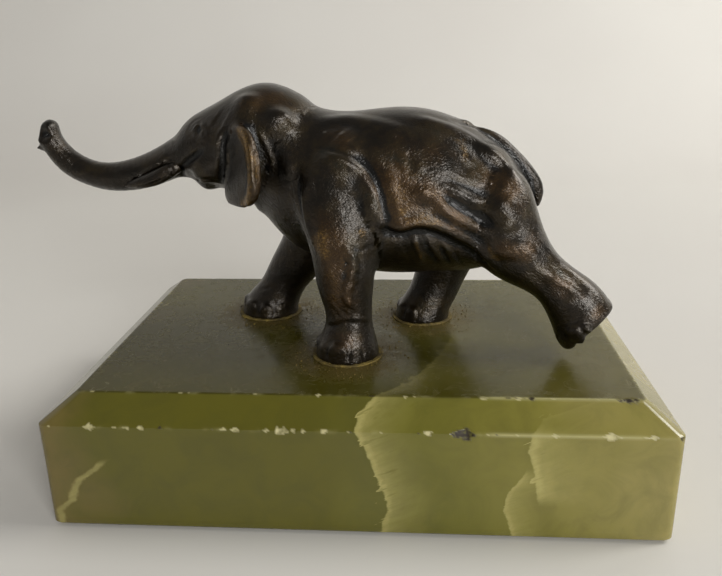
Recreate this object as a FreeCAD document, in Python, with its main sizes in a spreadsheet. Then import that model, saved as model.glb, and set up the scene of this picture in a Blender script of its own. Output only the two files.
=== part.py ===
"""Bronze elephant on a green onyx plinth, as a parametric FreeCAD document (millimetres).

The row frame has its origin at the centre of the underside of the baize pad, +Z up and +X along
the plinth's length. The elephant faces -X. Every size is a cell of the sheet "Sizes".
"""
import math
import os

import FreeCAD
import Part
import Sketcher
from FreeCAD import Placement, Rotation, Vector

doc = FreeCAD.newDocument("OnyxElephant")
sheet = doc.addObject("Spreadsheet::Sheet", "Sizes")

# ---------------------------------------------------------------- the sheet
driving_sizes = {
    "plinth_length": 140.0,
    "plinth_width": 96.0,
    "plinth_top": 31.4,          # height of the onyx top face above the table, the pad included
    "plinth_corner": 2.0,        # worn radius of the upright corners
    "plinth_foot_break": 0.5,    # small break round the bottom edge
    "bevel_across": 7.0,
    "bevel_drop": 5.2,
    "pad_thickness": 0.6,
    "pad_inset": 2.0,
    "pad_corner": 3.0,
    "bedding_thickness": 0.4,
    "bedding_margin": 1.1,
    "stud_radius": 2.0,
    "stud_in_foot": 8.0,
    "stud_chamfer": 0.4,
    "stud_below_nut": 1.2,
    "stud_hole_radius": 2.4,
    "counterbore_radius": 6.5,
    "counterbore_depth": 8.0,
    "washer_outer_radius": 4.5,
    "washer_inner_radius": 2.15,
    "washer_thickness": 0.8,
    "nut_across_flats": 7.0,
    "nut_thickness": 3.2,
    "nut_chamfer_angle": 30.0,
    "near_fore_x": -3.3,
    "near_fore_y": -18.4,
    "far_fore_x": -27.6,
    "far_fore_y": 11.4,
    "far_hind_x": 15.4,
    "far_hind_y": 8.2,
    "midline": -3.5,             # the elephant stands this far towards the front edge
}

# Sections of the casting, one row each, heights above the onyx top face:
#   upper or front outline x, z; lower or back outline x, z; centre y; half breadth;
#   share of the height, from the lower point, at which the section is broadest.
casting_sections = {
    "torso": [
        (41.2, 37.4, 40.8, 30.5, -3.5, 4.5, 0.50),
        (39.6, 42.0, 38.6, 24.5, -3.5, 10.0, 0.50),
        (35.0, 47.9, 34.0, 20.0, -3.5, 13.6, 0.50),
        (28.7, 52.5, 28.6, 18.0, -3.5, 15.8, 0.48),
        (19.4, 56.8, 20.5, 17.4, -3.5, 17.2, 0.45),
        (9.4, 58.2, 11.0, 17.0, -3.5, 17.8, 0.44),
        (-0.4, 57.4, 1.0, 17.6, -3.5, 17.2, 0.46),
        (-8.6, 57.8, -8.5, 20.0, -3.5, 15.4, 0.50),
        (-15.0, 60.0, -16.8, 23.6, -3.5, 13.2, 0.52),
        (-20.5, 61.0, -22.2, 28.6, -3.5, 11.0, 0.54),
        (-25.0, 58.0, -27.0, 32.8, -3.5, 8.5, 0.55),
    ],
    "head": [
        (-10.5, 58.0, -13.0, 44.0, -3.5, 7.0, 0.50),
        (-15.6, 62.0, -18.5, 37.0, -3.5, 10.4, 0.52),
        (-22.4, 64.3, -25.0, 34.6, -3.5, 12.0, 0.55),
        (-29.2, 62.9, -30.0, 36.6, -3.5, 11.8, 0.56),
        (-35.1, 59.9, -34.6, 38.6, -3.5, 10.4, 0.56),
        (-39.8, 57.6, -39.0, 40.2, -3.5, 8.8, 0.55),
        (-43.9, 54.7, -43.6, 41.4, -3.5, 7.0, 0.54),
        (-48.6, 50.6, -48.8, 40.6, -3.5, 5.6, 0.52),
    ],
    "trunk": [
        (-43.2, 54.3, -42.6, 42.6, -3.5, 6.6, 0.50),
        (-49.4, 50.1, -49.8, 40.1, -3.5, 5.6, 0.50),
        (-54.0, 47.8, -55.4, 38.5, -3.5, 5.0, 0.50),
        (-59.2, 46.0, -61.6, 37.8, -3.5, 4.5, 0.50),
        (-64.2, 45.2, -67.2, 38.4, -3.5, 4.1, 0.50),
        (-68.6, 45.8, -72.4, 40.2, -3.5, 3.7, 0.50),
        (-72.3, 47.7, -76.6, 42.8, -3.5, 3.4, 0.50),
        (-75.2, 50.6, -79.8, 46.8, -3.5, 3.2, 0.50),
        (-77.6, 55.6, -82.0, 50.4, -3.5, 3.5, 0.50),
    ],
    "lower_lip": [
        (-33.5, 45.0, -32.5, 40.0, -3.5, 5.2, 0.50),
        (-37.6, 43.6, -36.8, 38.4, -3.5, 3.9, 0.50),
        (-41.0, 42.2, -39.6, 38.1, -3.5, 2.9, 0.50),
        (-42.9, 42.0, -41.9, 40.0, -3.5, 1.6, 0.50),
    ],
    "near_foreleg": [
        (-10.9, 0.0, 4.4, 0.0, -18.4, 7.5, 0.50),
        (-10.7, 2.4, 4.4, 2.2, -18.4, 7.4, 0.50),
        (-9.4, 5.6, 3.5, 5.4, -18.3, 6.2, 0.50),
        (-8.4, 8.8, 3.0, 8.8, -18.2, 5.5, 0.50),
        (-9.0, 12.8, 3.1, 12.8, -18.1, 5.7, 0.50),
        (-10.2, 17.0, 3.4, 17.0, -18.0, 6.2, 0.50),
        (-11.0, 22.0, 4.0, 22.0, -17.8, 6.7, 0.50),
        (-12.2, 28.0, 4.4, 28.0, -17.2, 7.0, 0.50),
        (-14.4, 35.0, 5.0, 34.0, -15.6, 7.2, 0.50),
        (-16.0, 42.0, 4.6, 41.0, -13.8, 6.6, 0.50),
        (-14.4, 49.0, 2.4, 48.0, -12.4, 5.0, 0.50),
        (-10.6, 54.0, -2.0, 53.0, -11.0, 2.6, 0.50),
    ],
    "far_foreleg": [
        (-35.9, 0.0, -20.4, 0.0, 11.4, 7.4, 0.50),
        (-35.6, 2.6, -20.0, 2.0, 11.4, 7.3, 0.50),
        (-33.4, 6.0, -19.3, 3.8, 11.3, 6.2, 0.50),
        (-30.6, 9.0, -18.0, 6.4, 11.2, 5.5, 0.50),
        (-28.2, 13.2, -15.2, 9.6, 11.1, 5.7, 0.50),
        (-25.9, 17.6, -11.8, 13.8, 11.0, 6.2, 0.50),
        (-22.9, 23.4, -8.0, 19.6, 10.7, 6.8, 0.50),
        (-19.6, 31.6, -4.0, 28.0, 9.8, 7.2, 0.50),
        (-17.4, 40.0, -0.5, 37.0, 7.6, 6.8, 0.50),
        (-13.6, 48.6, -1.5, 47.0, 5.2, 4.6, 0.50),
    ],
    "far_hind_leg": [
        (8.2, 0.0, 22.6, 0.0, 8.2, 6.8, 0.50),
        (8.3, 2.4, 23.0, 2.0, 8.2, 6.8, 0.50),
        (10.2, 5.6, 24.4, 4.8, 8.2, 5.9, 0.50),
        (12.0, 8.8, 25.8, 8.0, 8.2, 5.6, 0.50),
        (13.4, 13.2, 28.2, 13.2, 8.2, 6.2, 0.50),
        (15.2, 19.6, 31.8, 19.6, 8.0, 7.2, 0.50),
        (18.0, 27.6, 36.2, 27.6, 7.2, 8.0, 0.50),
        (20.6, 36.0, 37.0, 36.0, 5.0, 6.6, 0.50),
        (22.6, 43.0, 33.0, 43.0, 2.6, 4.2, 0.50),
    ],
    "near_hind_leg": [
        (48.9, 2.2, 59.8, 13.4, -17.0, 6.4, 0.50),
        (47.6, 3.8, 58.1, 16.0, -17.0, 6.3, 0.50),
        (46.6, 6.7, 55.0, 18.9, -16.8, 5.5, 0.50),
        (45.0, 10.2, 51.9, 21.0, -16.4, 5.0, 0.50),
        (42.9, 13.4, 48.6, 23.5, -16.0, 5.0, 0.50),
        (39.3, 15.9, 45.8, 26.7, -15.6, 5.8, 0.50),
        (35.6, 17.4, 43.4, 31.4, -14.8, 6.8, 0.50),
        (31.4, 19.6, 41.4, 37.4, -13.8, 7.6, 0.50),
        (26.8, 24.2, 38.6, 43.0, -12.8, 8.0, 0.50),
        (23.4, 31.0, 34.0, 46.4, -11.0, 6.6, 0.50),
        (21.6, 37.6, 29.0, 47.4, -8.6, 4.4, 0.50),
    ],
    "tail": [
        (22.4, 54.0, 22.0, 51.4, -3.5, 1.6, 0.50),
        (28.4, 52.4, 27.4, 49.8, -3.5, 1.7, 0.50),
        (33.8, 50.2, 32.0, 47.4, -3.5, 1.7, 0.50),
        (38.0, 47.2, 35.9, 44.6, -3.5, 1.6, 0.50),
        (41.8, 43.5, 39.4, 41.4, -3.6, 1.5, 0.50),
        (44.3, 40.5, 41.5, 39.1, -3.7, 1.5, 0.50),
        (45.0, 37.8, 42.2, 37.3, -3.8, 1.4, 0.50),
        (44.5, 35.1, 42.7, 35.2, -3.9, 0.9, 0.50),
    ],
}
# Ear sections are level: height; x and y where it leaves the head; x and y at the rim; half thickness.
ear_sections = [
    (55.6, -28.6, 10.0, -27.4, 12.6, 0.8),
    (53.2, -29.6, 9.8, -24.6, 16.4, 1.2),
    (49.2, -30.4, 9.4, -22.8, 19.0, 1.4),
    (45.0, -31.0, 9.0, -22.4, 20.2, 1.4),
    (41.0, -32.6, 8.4, -23.0, 19.8, 1.4),
    (38.2, -32.6, 9.6, -24.4, 18.6, 1.3),
    (36.8, -31.4, 11.6, -26.2, 17.2, 0.9),
]
# Tusk sections: centre x, z, distance from the midline, radius; the first is the root in its socket.
tusk_sections = [
    (-44.8, 45.4, 4.6, 1.5),
    (-47.8, 43.9, 5.4, 2.1),
    (-51.2, 42.3, 5.7, 2.1),
    (-54.4, 41.1, 5.5, 1.7),
    (-57.2, 40.4, 5.1, 0.95),
    (-58.4, 40.2, 4.9, 0.35),
]


def write_sheet():
    """One cell a size: the driving sizes, then a row of cells for each section of the casting."""
    row = 1
    for name, value in driving_sizes.items():
        sheet.set(f"A{row}", name)
        sheet.set(f"B{row}", str(value))
        sheet.setAlias(f"B{row}", name)
        row += 1
    tables = dict(casting_sections, ear=ear_sections, tusk=tusk_sections)
    for limb, sections in tables.items():
        for number, values in enumerate(sections):
            sheet.set(f"A{row}", f"{limb} section {number}")
            for column, value in enumerate(values):
                cell = f"{'BCDEFGH'[column]}{row}"
                sheet.set(cell, str(value))
                sheet.setAlias(cell, f"{limb}_sec{number}_{'abcdefg'[column]}")
            row += 1


write_sheet()
doc.recompute()


def size(alias):
    return float(sheet.get(alias))


def section_rows(limb, count, columns):
    """The section table of one form, read back from the sheet."""
    return [[size(f"{limb}_sec{n}_{'abcdefg'[c]}") for c in range(columns)] for n in range(count)]


top_face = size("plinth_top")
sole_height = top_face + size("bedding_thickness")


# ---------------------------------------------------------------- small builders
def origin_plane(body, role):
    return next(feature for feature in body.Origin.OriginFeatures if feature.Role == role)


def new_body(label):
    body = doc.addObject("PartDesign::Body", label)
    body.Label = label
    return body


def new_sketch(body, name, height_alias=None):
    """A sketch on the body's XY plane, lifted to an expression of the sheet."""
    sketch = body.newObject("Sketcher::SketchObject", name)
    sketch.AttachmentSupport = (origin_plane(body, "XY_Plane"), [""])
    sketch.MapMode = "FlatFace"
    if height_alias:
        sketch.setExpression("AttachmentOffset.Base.z", height_alias)
    return sketch


def driven(sketch, constraint, expression, name):
    """Adds a dimension that follows an expression of the sheet."""
    index = sketch.addConstraint(constraint)
    sketch.renameConstraint(index, name)
    sketch.setExpression(f"Constraints.{name}", expression)


def draw_rectangle(sketch, length, width):
    """A rectangle about the sketch's origin."""
    corners = [Vector(-10, -8, 0), Vector(10, -8, 0), Vector(10, 8, 0), Vector(-10, 8, 0)]
    for k in range(4):
        sketch.addGeometry(Part.LineSegment(corners[k], corners[(k + 1) % 4]))
    for k in range(4):
        sketch.addConstraint(Sketcher.Constraint("Coincident", k, 2, (k + 1) % 4, 1))
    for k in (0, 2):
        sketch.addConstraint(Sketcher.Constraint("Horizontal", k))
    for k in (1, 3):
        sketch.addConstraint(Sketcher.Constraint("Vertical", k))
    sketch.addConstraint(Sketcher.Constraint("Symmetric", 0, 1, 2, 1, -1, 1))
    driven(sketch, Sketcher.Constraint("DistanceX", 0, 1, 0, 2, 20.0), length, "length")
    driven(sketch, Sketcher.Constraint("DistanceY", 1, 1, 1, 2, 16.0), width, "width")


def draw_circle(sketch, radius, name, centre=None):
    """A circle at the origin, or at a centre given as two expressions."""
    index = sketch.addGeometry(Part.Circle(Vector(0, 0, 0), Vector(0, 0, 1), 3.0))
    if centre is None:
        sketch.addConstraint(Sketcher.Constraint("Coincident", index, 3, -1, 1))
    else:
        driven(sketch, Sketcher.Constraint("DistanceX", -1, 1, index, 3, 1.0), centre[0], name + "_x")
        driven(sketch, Sketcher.Constraint("DistanceY", -1, 1, index, 3, 1.0), centre[1], name + "_y")
    driven(sketch, Sketcher.Constraint("Radius", index, 3.0), radius, name + "_radius")


def pad(body, sketch, length, name="Pad"):
    feature = body.newObject("PartDesign::Pad", name)
    feature.Profile = sketch
    feature.setExpression("Length", length)
    return feature


def pocket_upwards(body, sketch, length, name):
    """A pocket that is cut from the sketch towards +Z."""
    feature = body.newObject("PartDesign::Pocket", name)
    feature.Profile = sketch
    feature.Reversed = True
    feature.setExpression("Length", length)
    return feature


def edges_where(shape, test):
    return [f"Edge{k + 1}" for k, edge in enumerate(shape.Edges) if test(edge)]


def flat_at(height):
    """Tests for an edge that lies level at a height."""
    def test(edge):
        box = edge.BoundBox
        return box.ZLength < 1e-6 and abs(box.ZMin - height) < 1e-6
    return test


def is_upright(edge):
    box = edge.BoundBox
    return box.XLength < 1e-6 and box.YLength < 1e-6


# ---------------------------------------------------------------- onyx plinth
planted_feet = ("near_fore", "far_fore", "far_hind")


def build_plinth():
    """A sawn and polished block: bevelled top, worn corners, three counterbored stud holes."""
    body = new_body("onyx_plinth")
    block = new_sketch(body, "PlinthOutline", "Sizes.pad_thickness")
    draw_rectangle(block, "Sizes.plinth_length", "Sizes.plinth_width")
    base = pad(body, block, "Sizes.plinth_top - Sizes.pad_thickness", "Block")
    doc.recompute()

    bevel = body.newObject("PartDesign::Chamfer", "TopBevel")
    bevel.Base = (base, edges_where(base.Shape, flat_at(top_face)))
    bevel.ChamferType = "Two distances"
    bevel.setExpression("Size", "Sizes.bevel_across")
    bevel.setExpression("Size2", "Sizes.bevel_drop")
    doc.recompute()

    corners = body.newObject("PartDesign::Fillet", "WornCorners")
    corners.Base = (bevel, edges_where(bevel.Shape, is_upright))
    corners.setExpression("Radius", "Sizes.plinth_corner")
    doc.recompute()

    foot_break = body.newObject("PartDesign::Chamfer", "FootBreak")
    foot_break.Base = (corners, edges_where(corners.Shape, flat_at(size("pad_thickness"))))
    foot_break.setExpression("Size", "Sizes.plinth_foot_break")
    doc.recompute()
    for step, smaller in ((bevel, base), (corners, bevel), (foot_break, corners)):
        print(step.Label, round(step.Shape.Volume, 1), step.Shape.isValid())
        if step.Shape.Volume >= smaller.Shape.Volume:
            raise RuntimeError(f"{step.Label} took nothing off")

    before = body.Shape.Volume
    for alias, radius, depth in (
        ("StudHoles", "Sizes.stud_hole_radius", "Sizes.plinth_top"),
        ("Counterbores", "Sizes.counterbore_radius", "Sizes.counterbore_depth"),
    ):
        circles = new_sketch(body, alias + "Sketch", "Sizes.pad_thickness")
        for foot in planted_feet:
            draw_circle(circles, radius, foot, (f"Sizes.{foot}_x", f"Sizes.{foot}_y"))
        pocket_upwards(body, circles, depth, alias)
        doc.recompute()
        if body.Shape.Volume >= before - 1:
            raise RuntimeError(f"{alias} cut nothing")
        before = body.Shape.Volume
    return body


# ---------------------------------------------------------------- baize pad
def build_pad():
    """Green baize glued under the plinth, which covers the counterbores."""
    body = new_body("baize_pad")
    outline = new_sketch(body, "PadOutline")
    draw_rectangle(outline, "Sizes.plinth_length - 2 * Sizes.pad_inset",
                   "Sizes.plinth_width - 2 * Sizes.pad_inset")
    cloth = pad(body, outline, "Sizes.pad_thickness", "Cloth")
    doc.recompute()
    corners = body.newObject("PartDesign::Fillet", "RoundedCorners")
    corners.Base = (cloth, edges_where(cloth.Shape, is_upright))
    corners.setExpression("Radius", "Sizes.pad_corner")
    return body


# ---------------------------------------------------------------- fixings under each planted foot
def build_stud(foot):
    """A threaded rod that is screwed into the foot and runs down through the plinth."""
    body = new_body(f"{foot}_stud")
    low_end = ("Sizes.pad_thickness + Sizes.counterbore_depth - Sizes.washer_thickness"
               " - Sizes.nut_thickness - Sizes.stud_below_nut")
    outline = new_sketch(body, f"{foot}StudSketch", low_end)
    draw_circle(outline, "Sizes.stud_radius", "stud", (f"Sizes.{foot}_x", f"Sizes.{foot}_y"))
    rod = pad(body, outline, "Sizes.plinth_top + Sizes.bedding_thickness + Sizes.stud_in_foot"
              f" - ({low_end})", f"{foot}Rod")
    doc.recompute()
    ends = body.newObject("PartDesign::Chamfer", f"{foot}RodEnds")
    ends.Base = (rod, edges_where(rod.Shape, lambda edge: edge.BoundBox.ZLength < 1e-6))
    ends.setExpression("Size", "Sizes.stud_chamfer")
    return body


def build_washer(foot):
    """A plain washer against the roof of the counterbore."""
    body = new_body(f"{foot}_washer")
    outline = new_sketch(body, f"{foot}WasherSketch",
                         "Sizes.pad_thickness + Sizes.counterbore_depth - Sizes.washer_thickness")
    centre = (f"Sizes.{foot}_x", f"Sizes.{foot}_y")
    draw_circle(outline, "Sizes.washer_outer_radius", "outer", centre)
    draw_circle(outline, "Sizes.washer_inner_radius", "inner", centre)
    pad(body, outline, "Sizes.washer_thickness", f"{foot}Ring")
    return body


def build_nut(foot):
    """A hexagon nut, its corners turned off at both faces, with the stud's own bore."""
    across, thick = size("nut_across_flats"), size("nut_thickness")
    corner_radius = across / math.sqrt(3)
    low = (size("pad_thickness") + size("counterbore_depth")
           - size("washer_thickness") - thick)
    hexagon = doc.addObject("Part::Prism", f"{foot}Hexagon")
    hexagon.Polygon = 6
    hexagon.setExpression("Circumradius", "Sizes.nut_across_flats / sqrt(3)")
    hexagon.setExpression("Height", "Sizes.nut_thickness")
    slope = math.tan(math.radians(size("nut_chamfer_angle")))
    turned = doc.addObject("Part::Feature", f"{foot}TurnedForm")
    rise = (corner_radius - across / 2) * slope
    profile = Part.makePolygon([
        Vector(0, 0, 0), Vector(across / 2, 0, 0), Vector(corner_radius, 0, rise),
        Vector(corner_radius, 0, thick - rise), Vector(across / 2, 0, thick),
        Vector(0, 0, thick), Vector(0, 0, 0)])
    turned.Shape = Part.Face(profile).revolve(Vector(0, 0, 0), Vector(0, 0, 1), 360)
    blank = doc.addObject("Part::Common", f"{foot}NutBlank")
    blank.Base, blank.Tool = hexagon, turned
    bore = doc.addObject("Part::Cylinder", f"{foot}NutBore")
    bore.setExpression("Radius", "Sizes.stud_radius")
    bore.setExpression("Height", "Sizes.nut_thickness")
    nut = doc.addObject("Part::Cut", f"{foot}_nut")
    nut.Base, nut.Tool = blank, bore
    nut.Label = f"{foot}_nut"
    nut.Placement = Placement(Vector(size(f"{foot}_x"), size(f"{foot}_y"), low), Rotation())
    return nut


# ---------------------------------------------------------------- the casting
def ring(upper, lower, half_breadth, broadest, across=Vector(0, 1, 0), poles=16):
    """A closed smooth section from its two outline points, its half breadth and where that lies.

    Every ring is a uniform cubic spline with the same number of poles, so that a loft through
    rings stays light. Poles lie a little outside the curve, which pole_reach makes up for.
    """
    upper, lower = Vector(*upper), Vector(*lower)
    widest = lower + (upper - lower) * broadest
    pole_reach = 3 / (2 + math.cos(2 * math.pi / poles))
    places = []
    for k in range(poles):
        turn = 2 * math.pi * k / poles
        rise = pole_reach * math.cos(turn)
        reach = (upper - widest) if rise > 0 else (widest - lower)
        places.append(widest + reach * rise + across * (pole_reach * half_breadth * math.sin(turn)))
    curve = Part.BSplineCurve()
    curve.buildFromPolesMultsKnots(places, [1] * (poles + 1), list(range(poles + 1)), True, 3)
    return Part.Wire(curve.toShape())


def loft(wires):
    solid = Part.makeLoft(wires, True, False)
    if not solid.isValid() or solid.Volume <= 0:
        raise RuntimeError("a loft of the casting is not a valid solid")
    return solid


def limb_form(limb):
    """One limb of the casting as a loft through its sections."""
    rows = section_rows(limb, len(casting_sections[limb]), 7)
    wires = []
    for front_x, front_z, back_x, back_z, y, half, broadest in rows:
        wires.append(ring((front_x, y, front_z + sole_height), (back_x, y, back_z + sole_height),
                          half, broadest))
    return loft(wires)


def far_side(shape):
    """The same form on the far side of the elephant's midline."""
    return shape.mirror(Vector(0, size("midline"), 0), Vector(0, 1, 0))


def ear_form():
    """The near ear flap: level sections from the head to the rim."""
    midline = size("midline")
    wires = []
    for height, root_x, root_y, rim_x, rim_y, half in section_rows("ear", len(ear_sections), 6):
        rim = Vector(rim_x, midline - rim_y, height + sole_height)
        root = Vector(root_x, midline - root_y, height + sole_height)
        along = (rim - root).normalize()
        wires.append(ring(rim, root, half, 0.5, Vector(0, 0, 1).cross(along)))
    return loft(wires)


def tusk_form():
    """The near tusk: round sections square to its line, closed by a small round point."""
    midline = size("midline")
    rows = section_rows("tusk", len(tusk_sections), 4)
    centres = [Vector(x, midline - y, z + sole_height) for x, z, y, _ in rows]
    wires = []
    for k, centre in enumerate(centres):
        before, after = centres[max(k - 1, 0)], centres[min(k + 1, len(centres) - 1)]
        along = (after - before).normalize()
        up = (Vector(0, 0, 1) - along * along.z).normalize() * rows[k][3]
        wires.append(ring(centre + up, centre - up, rows[k][3], 0.5, along.cross(up).normalize()))
    return loft(wires)


def shape_feature(name, shape):
    feature = doc.addObject("Part::Feature", name)
    feature.Label = name
    feature.Shape = shape
    return feature


def build_casting(tusks, studs):
    """All limbs fused into one casting, with the sockets of the tusks and the studs cut out."""
    forms = [shape_feature(f"{limb}_form", limb_form(limb)) for limb in casting_sections]
    ear = ear_form()
    forms.append(shape_feature("near_ear_form", ear))
    forms.append(shape_feature("far_ear_form", far_side(ear)))
    whole = forms[0]
    for form in forms[1:]:
        shared = whole.Shape.common(form.Shape).Volume
        joined = doc.addObject("Part::Fuse", f"With_{form.Name}")
        joined.Base, joined.Tool = whole, form
        doc.recompute()
        expected = whole.Shape.Volume + form.Shape.Volume - shared
        if abs(joined.Shape.Volume - expected) > 0.005 * expected or len(joined.Shape.Solids) != 1:
            raise RuntimeError(f"{form.Name} did not join the casting")
        whole = joined
    sockets = doc.addObject("Part::MultiFuse", "Sockets")
    sockets.Shapes = tusks + studs
    casting = doc.addObject("Part::Cut", "elephant_casting")
    casting.Label = "elephant_casting"
    casting.Base, casting.Tool = whole, sockets
    return casting


def build_bedding(foot, limb):
    """A thin bed of setting compound under a planted foot, a little wider than the foot."""
    front_x, _, back_x, _, y, half, _ = section_rows(limb, 1, 7)[0]
    margin = size("bedding_margin")
    outline = ring((front_x - margin, y, top_face), (back_x + margin, y, top_face),
                   half + margin, 0.5)
    slab = Part.Face(outline).extrude(Vector(0, 0, size("bedding_thickness")))
    form = shape_feature(f"{foot}BeddingForm", slab)
    hole = doc.addObject("Part::Cylinder", f"{foot}BeddingHole")
    hole.setExpression("Radius", "Sizes.stud_radius")
    hole.setExpression("Height", "Sizes.bedding_thickness")
    hole.setExpression("Placement.Base.x", f"Sizes.{foot}_x")
    hole.setExpression("Placement.Base.y", f"Sizes.{foot}_y")
    hole.setExpression("Placement.Base.z", "Sizes.plinth_top")
    bedding = doc.addObject("Part::Cut", f"{foot}_bedding")
    bedding.Label = f"{foot}_bedding"
    bedding.Base, bedding.Tool = form, hole
    return bedding


# ---------------------------------------------------------------- build, check, write
def build_all():
    nodes = [build_plinth(), build_pad()]
    studs = [build_stud(foot) for foot in planted_feet]
    nodes += studs
    nodes += [build_washer(foot) for foot in planted_feet]
    nodes += [build_nut(foot) for foot in planted_feet]
    legs = {"near_fore": "near_foreleg", "far_fore": "far_foreleg", "far_hind": "far_hind_leg"}
    nodes += [build_bedding(foot, limb) for foot, limb in legs.items()]
    tusk = tusk_form()
    tusks = [shape_feature("near_tusk", tusk), shape_feature("far_tusk", far_side(tusk))]
    nodes += tusks
    doc.recompute()
    nodes.append(build_casting(tusks, studs))
    doc.recompute()
    return nodes


def check(nodes):
    for item in doc.Objects:
        if "Invalid" in item.State or "Error" in item.State:
            raise RuntimeError(f"{item.Label} failed: {item.State}")
    for node in nodes:
        shape = node.Shape
        if shape.isNull() or not shape.isValid() or shape.Volume <= 0 or not shape.Solids:
            raise RuntimeError(f"{node.Label} has no valid solid")


def write(nodes):
    os.makedirs("parts", exist_ok=True)
    for node in nodes:
        node.Shape.exportStep(os.path.join("parts", node.Label + ".step"))
        box = node.Shape.BoundBox
        print(f"{node.Label}: {len(node.Shape.Solids)} solid, {node.Shape.Volume:.1f} mm3, "
              f"{box.XLength:.1f} x {box.YLength:.1f} x {box.ZLength:.1f} mm")


all_nodes = build_all()
check(all_nodes)
write(all_nodes)
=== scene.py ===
import math
import random

import bpy
import numpy as np
from mathutils import Matrix, Vector, noise
from mathutils.bvhtree import BVHTree


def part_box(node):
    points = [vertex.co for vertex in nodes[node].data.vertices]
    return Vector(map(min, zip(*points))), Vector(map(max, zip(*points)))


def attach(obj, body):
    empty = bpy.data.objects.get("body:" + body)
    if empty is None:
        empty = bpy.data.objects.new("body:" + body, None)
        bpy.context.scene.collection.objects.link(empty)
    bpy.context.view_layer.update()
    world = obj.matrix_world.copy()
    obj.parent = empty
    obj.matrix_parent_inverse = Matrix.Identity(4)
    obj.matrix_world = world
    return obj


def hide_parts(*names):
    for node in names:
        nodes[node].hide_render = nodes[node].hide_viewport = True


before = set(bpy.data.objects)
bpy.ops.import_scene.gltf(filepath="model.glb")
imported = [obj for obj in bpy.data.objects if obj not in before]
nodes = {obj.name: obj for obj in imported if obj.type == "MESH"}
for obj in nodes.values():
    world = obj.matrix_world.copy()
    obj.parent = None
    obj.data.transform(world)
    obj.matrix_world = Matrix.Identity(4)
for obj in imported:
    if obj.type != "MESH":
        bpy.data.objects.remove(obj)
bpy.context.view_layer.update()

mm = 0.001
plinthLow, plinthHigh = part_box("onyx_plinth")
topFace = plinthHigh.z / mm    # every height on the elephant is measured up from this face
midline = -3.5    # the elephant stands a little towards the front edge


# small helpers

def linear(hexColour):
    parts = [int(hexColour[k:k + 2], 16) / 255 for k in (1, 3, 5)]
    return [p / 12.92 if p <= 0.04045 else ((p + 0.055) / 1.055) ** 2.4 for p in parts] + [1.0]


def deselectAll():
    if bpy.context.mode != "OBJECT":
        bpy.ops.object.mode_set(mode="OBJECT")
    bpy.ops.object.select_all(action="DESELECT")


def choose(piece):
    deselectAll()
    piece.select_set(True)
    bpy.context.view_layer.objects.active = piece


def joinPieces(pieces):
    deselectAll()
    for piece in pieces:
        piece.select_set(True)
    bpy.context.view_layer.objects.active = pieces[0]
    bpy.ops.object.join()
    return pieces[0]


def applyPlace(piece):
    choose(piece)
    bpy.ops.object.transform_apply(location=True, rotation=True, scale=True)


def applyModifier(piece, kind, **settings):
    choose(piece)
    modifier = piece.modifiers.new(kind.lower(), kind)
    for name, value in settings.items():
        setattr(modifier, name, value)
    bpy.ops.object.modifier_apply(modifier=modifier.name)


def remesh(piece, voxel):
    choose(piece)
    piece.data.remesh_voxel_size = voxel * mm
    piece.data.remesh_voxel_adaptivity = 0
    bpy.ops.object.voxel_remesh()


def copyOfNode(node, name):
    # a copy of a CAD node's mesh, with its loose triangles welded
    piece = bpy.data.objects.new(name, nodes[node].data.copy())
    bpy.context.scene.collection.objects.link(piece)
    piece.data.materials.clear()
    choose(piece)
    bpy.ops.object.mode_set(mode="EDIT")
    bpy.ops.mesh.select_all(action="SELECT")
    bpy.ops.mesh.remove_doubles(threshold=0.002 * mm)
    bpy.ops.object.mode_set(mode="OBJECT")
    return piece


# clay: numbers about the mesh in millimetres, heights above the onyx

def readClay(piece):
    mesh = piece.data
    count = len(mesh.vertices)
    places = np.empty(count * 3, np.float32)
    mesh.vertices.foreach_get("co", places)
    places = places.reshape(-1, 3).astype(float) / mm
    places[:, 2] -= topFace
    edges = np.empty(len(mesh.edges) * 2, np.int32)
    mesh.edges.foreach_get("vertices", edges)
    clay = {"piece": piece, "places": places, "edges": edges.reshape(-1, 2)}
    clay["links"] = np.bincount(clay["edges"].ravel(), minlength=count)[:, None]
    findNormals(clay)
    return clay


def writeClay(clay):
    places = clay["places"].copy()
    places[:, 2] += topFace
    mesh = clay["piece"].data
    mesh.vertices.foreach_set("co", (places * mm).astype(np.float32).ravel())
    mesh.update()


def findNormals(clay):
    writeClay(clay)
    mesh = clay["piece"].data
    normals = np.empty(len(mesh.vertices) * 3, np.float32)
    mesh.vertices.foreach_get("normal", normals)
    clay["normals"] = normals.reshape(-1, 3).astype(float)


def skinOf(clay):
    # a ray target of the surface as it is now
    clay["piece"].data.calc_loop_triangles()
    triangles = np.empty(len(clay["piece"].data.loop_triangles) * 3, np.int32)
    clay["piece"].data.loop_triangles.foreach_get("vertices", triangles)
    clay["skin"] = BVHTree.FromPolygons(clay["places"].tolist(), triangles.reshape(-1, 3).tolist())


def neighbourMean(clay, values):
    total = np.zeros_like(values)
    first, second = clay["edges"][:, 0], clay["edges"][:, 1]
    for axis in range(values.shape[1]):
        total[:, axis] += np.bincount(first, values[second, axis], len(values))
        total[:, axis] += np.bincount(second, values[first, axis], len(values))
    return total / clay["links"]


def relax(clay, rounds, strength, onlyHollows=False, part=None):
    # evens the surface out; onlyHollows fills creases and leaves everything that stands proud
    for _ in range(rounds):
        move = neighbourMean(clay, clay["places"]) - clay["places"]
        if onlyHollows:
            findNormals(clay)
            outward = (move * clay["normals"]).sum(1)
            move *= np.clip(outward / 0.02, 0, 1)[:, None]
        if part is not None:
            move *= part[:, None]
        clay["places"] += move * strength
    findNormals(clay)


def fillHollows(clay, centre, reach, rounds):
    # fills the creases inside an egg-shaped region, fading out towards its rim
    gap = np.linalg.norm((clay["places"] - centre) / reach, axis=1)
    relax(clay, rounds, 0.6, onlyHollows=True, part=np.clip(2 - 2 * gap, 0, 1))


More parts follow.
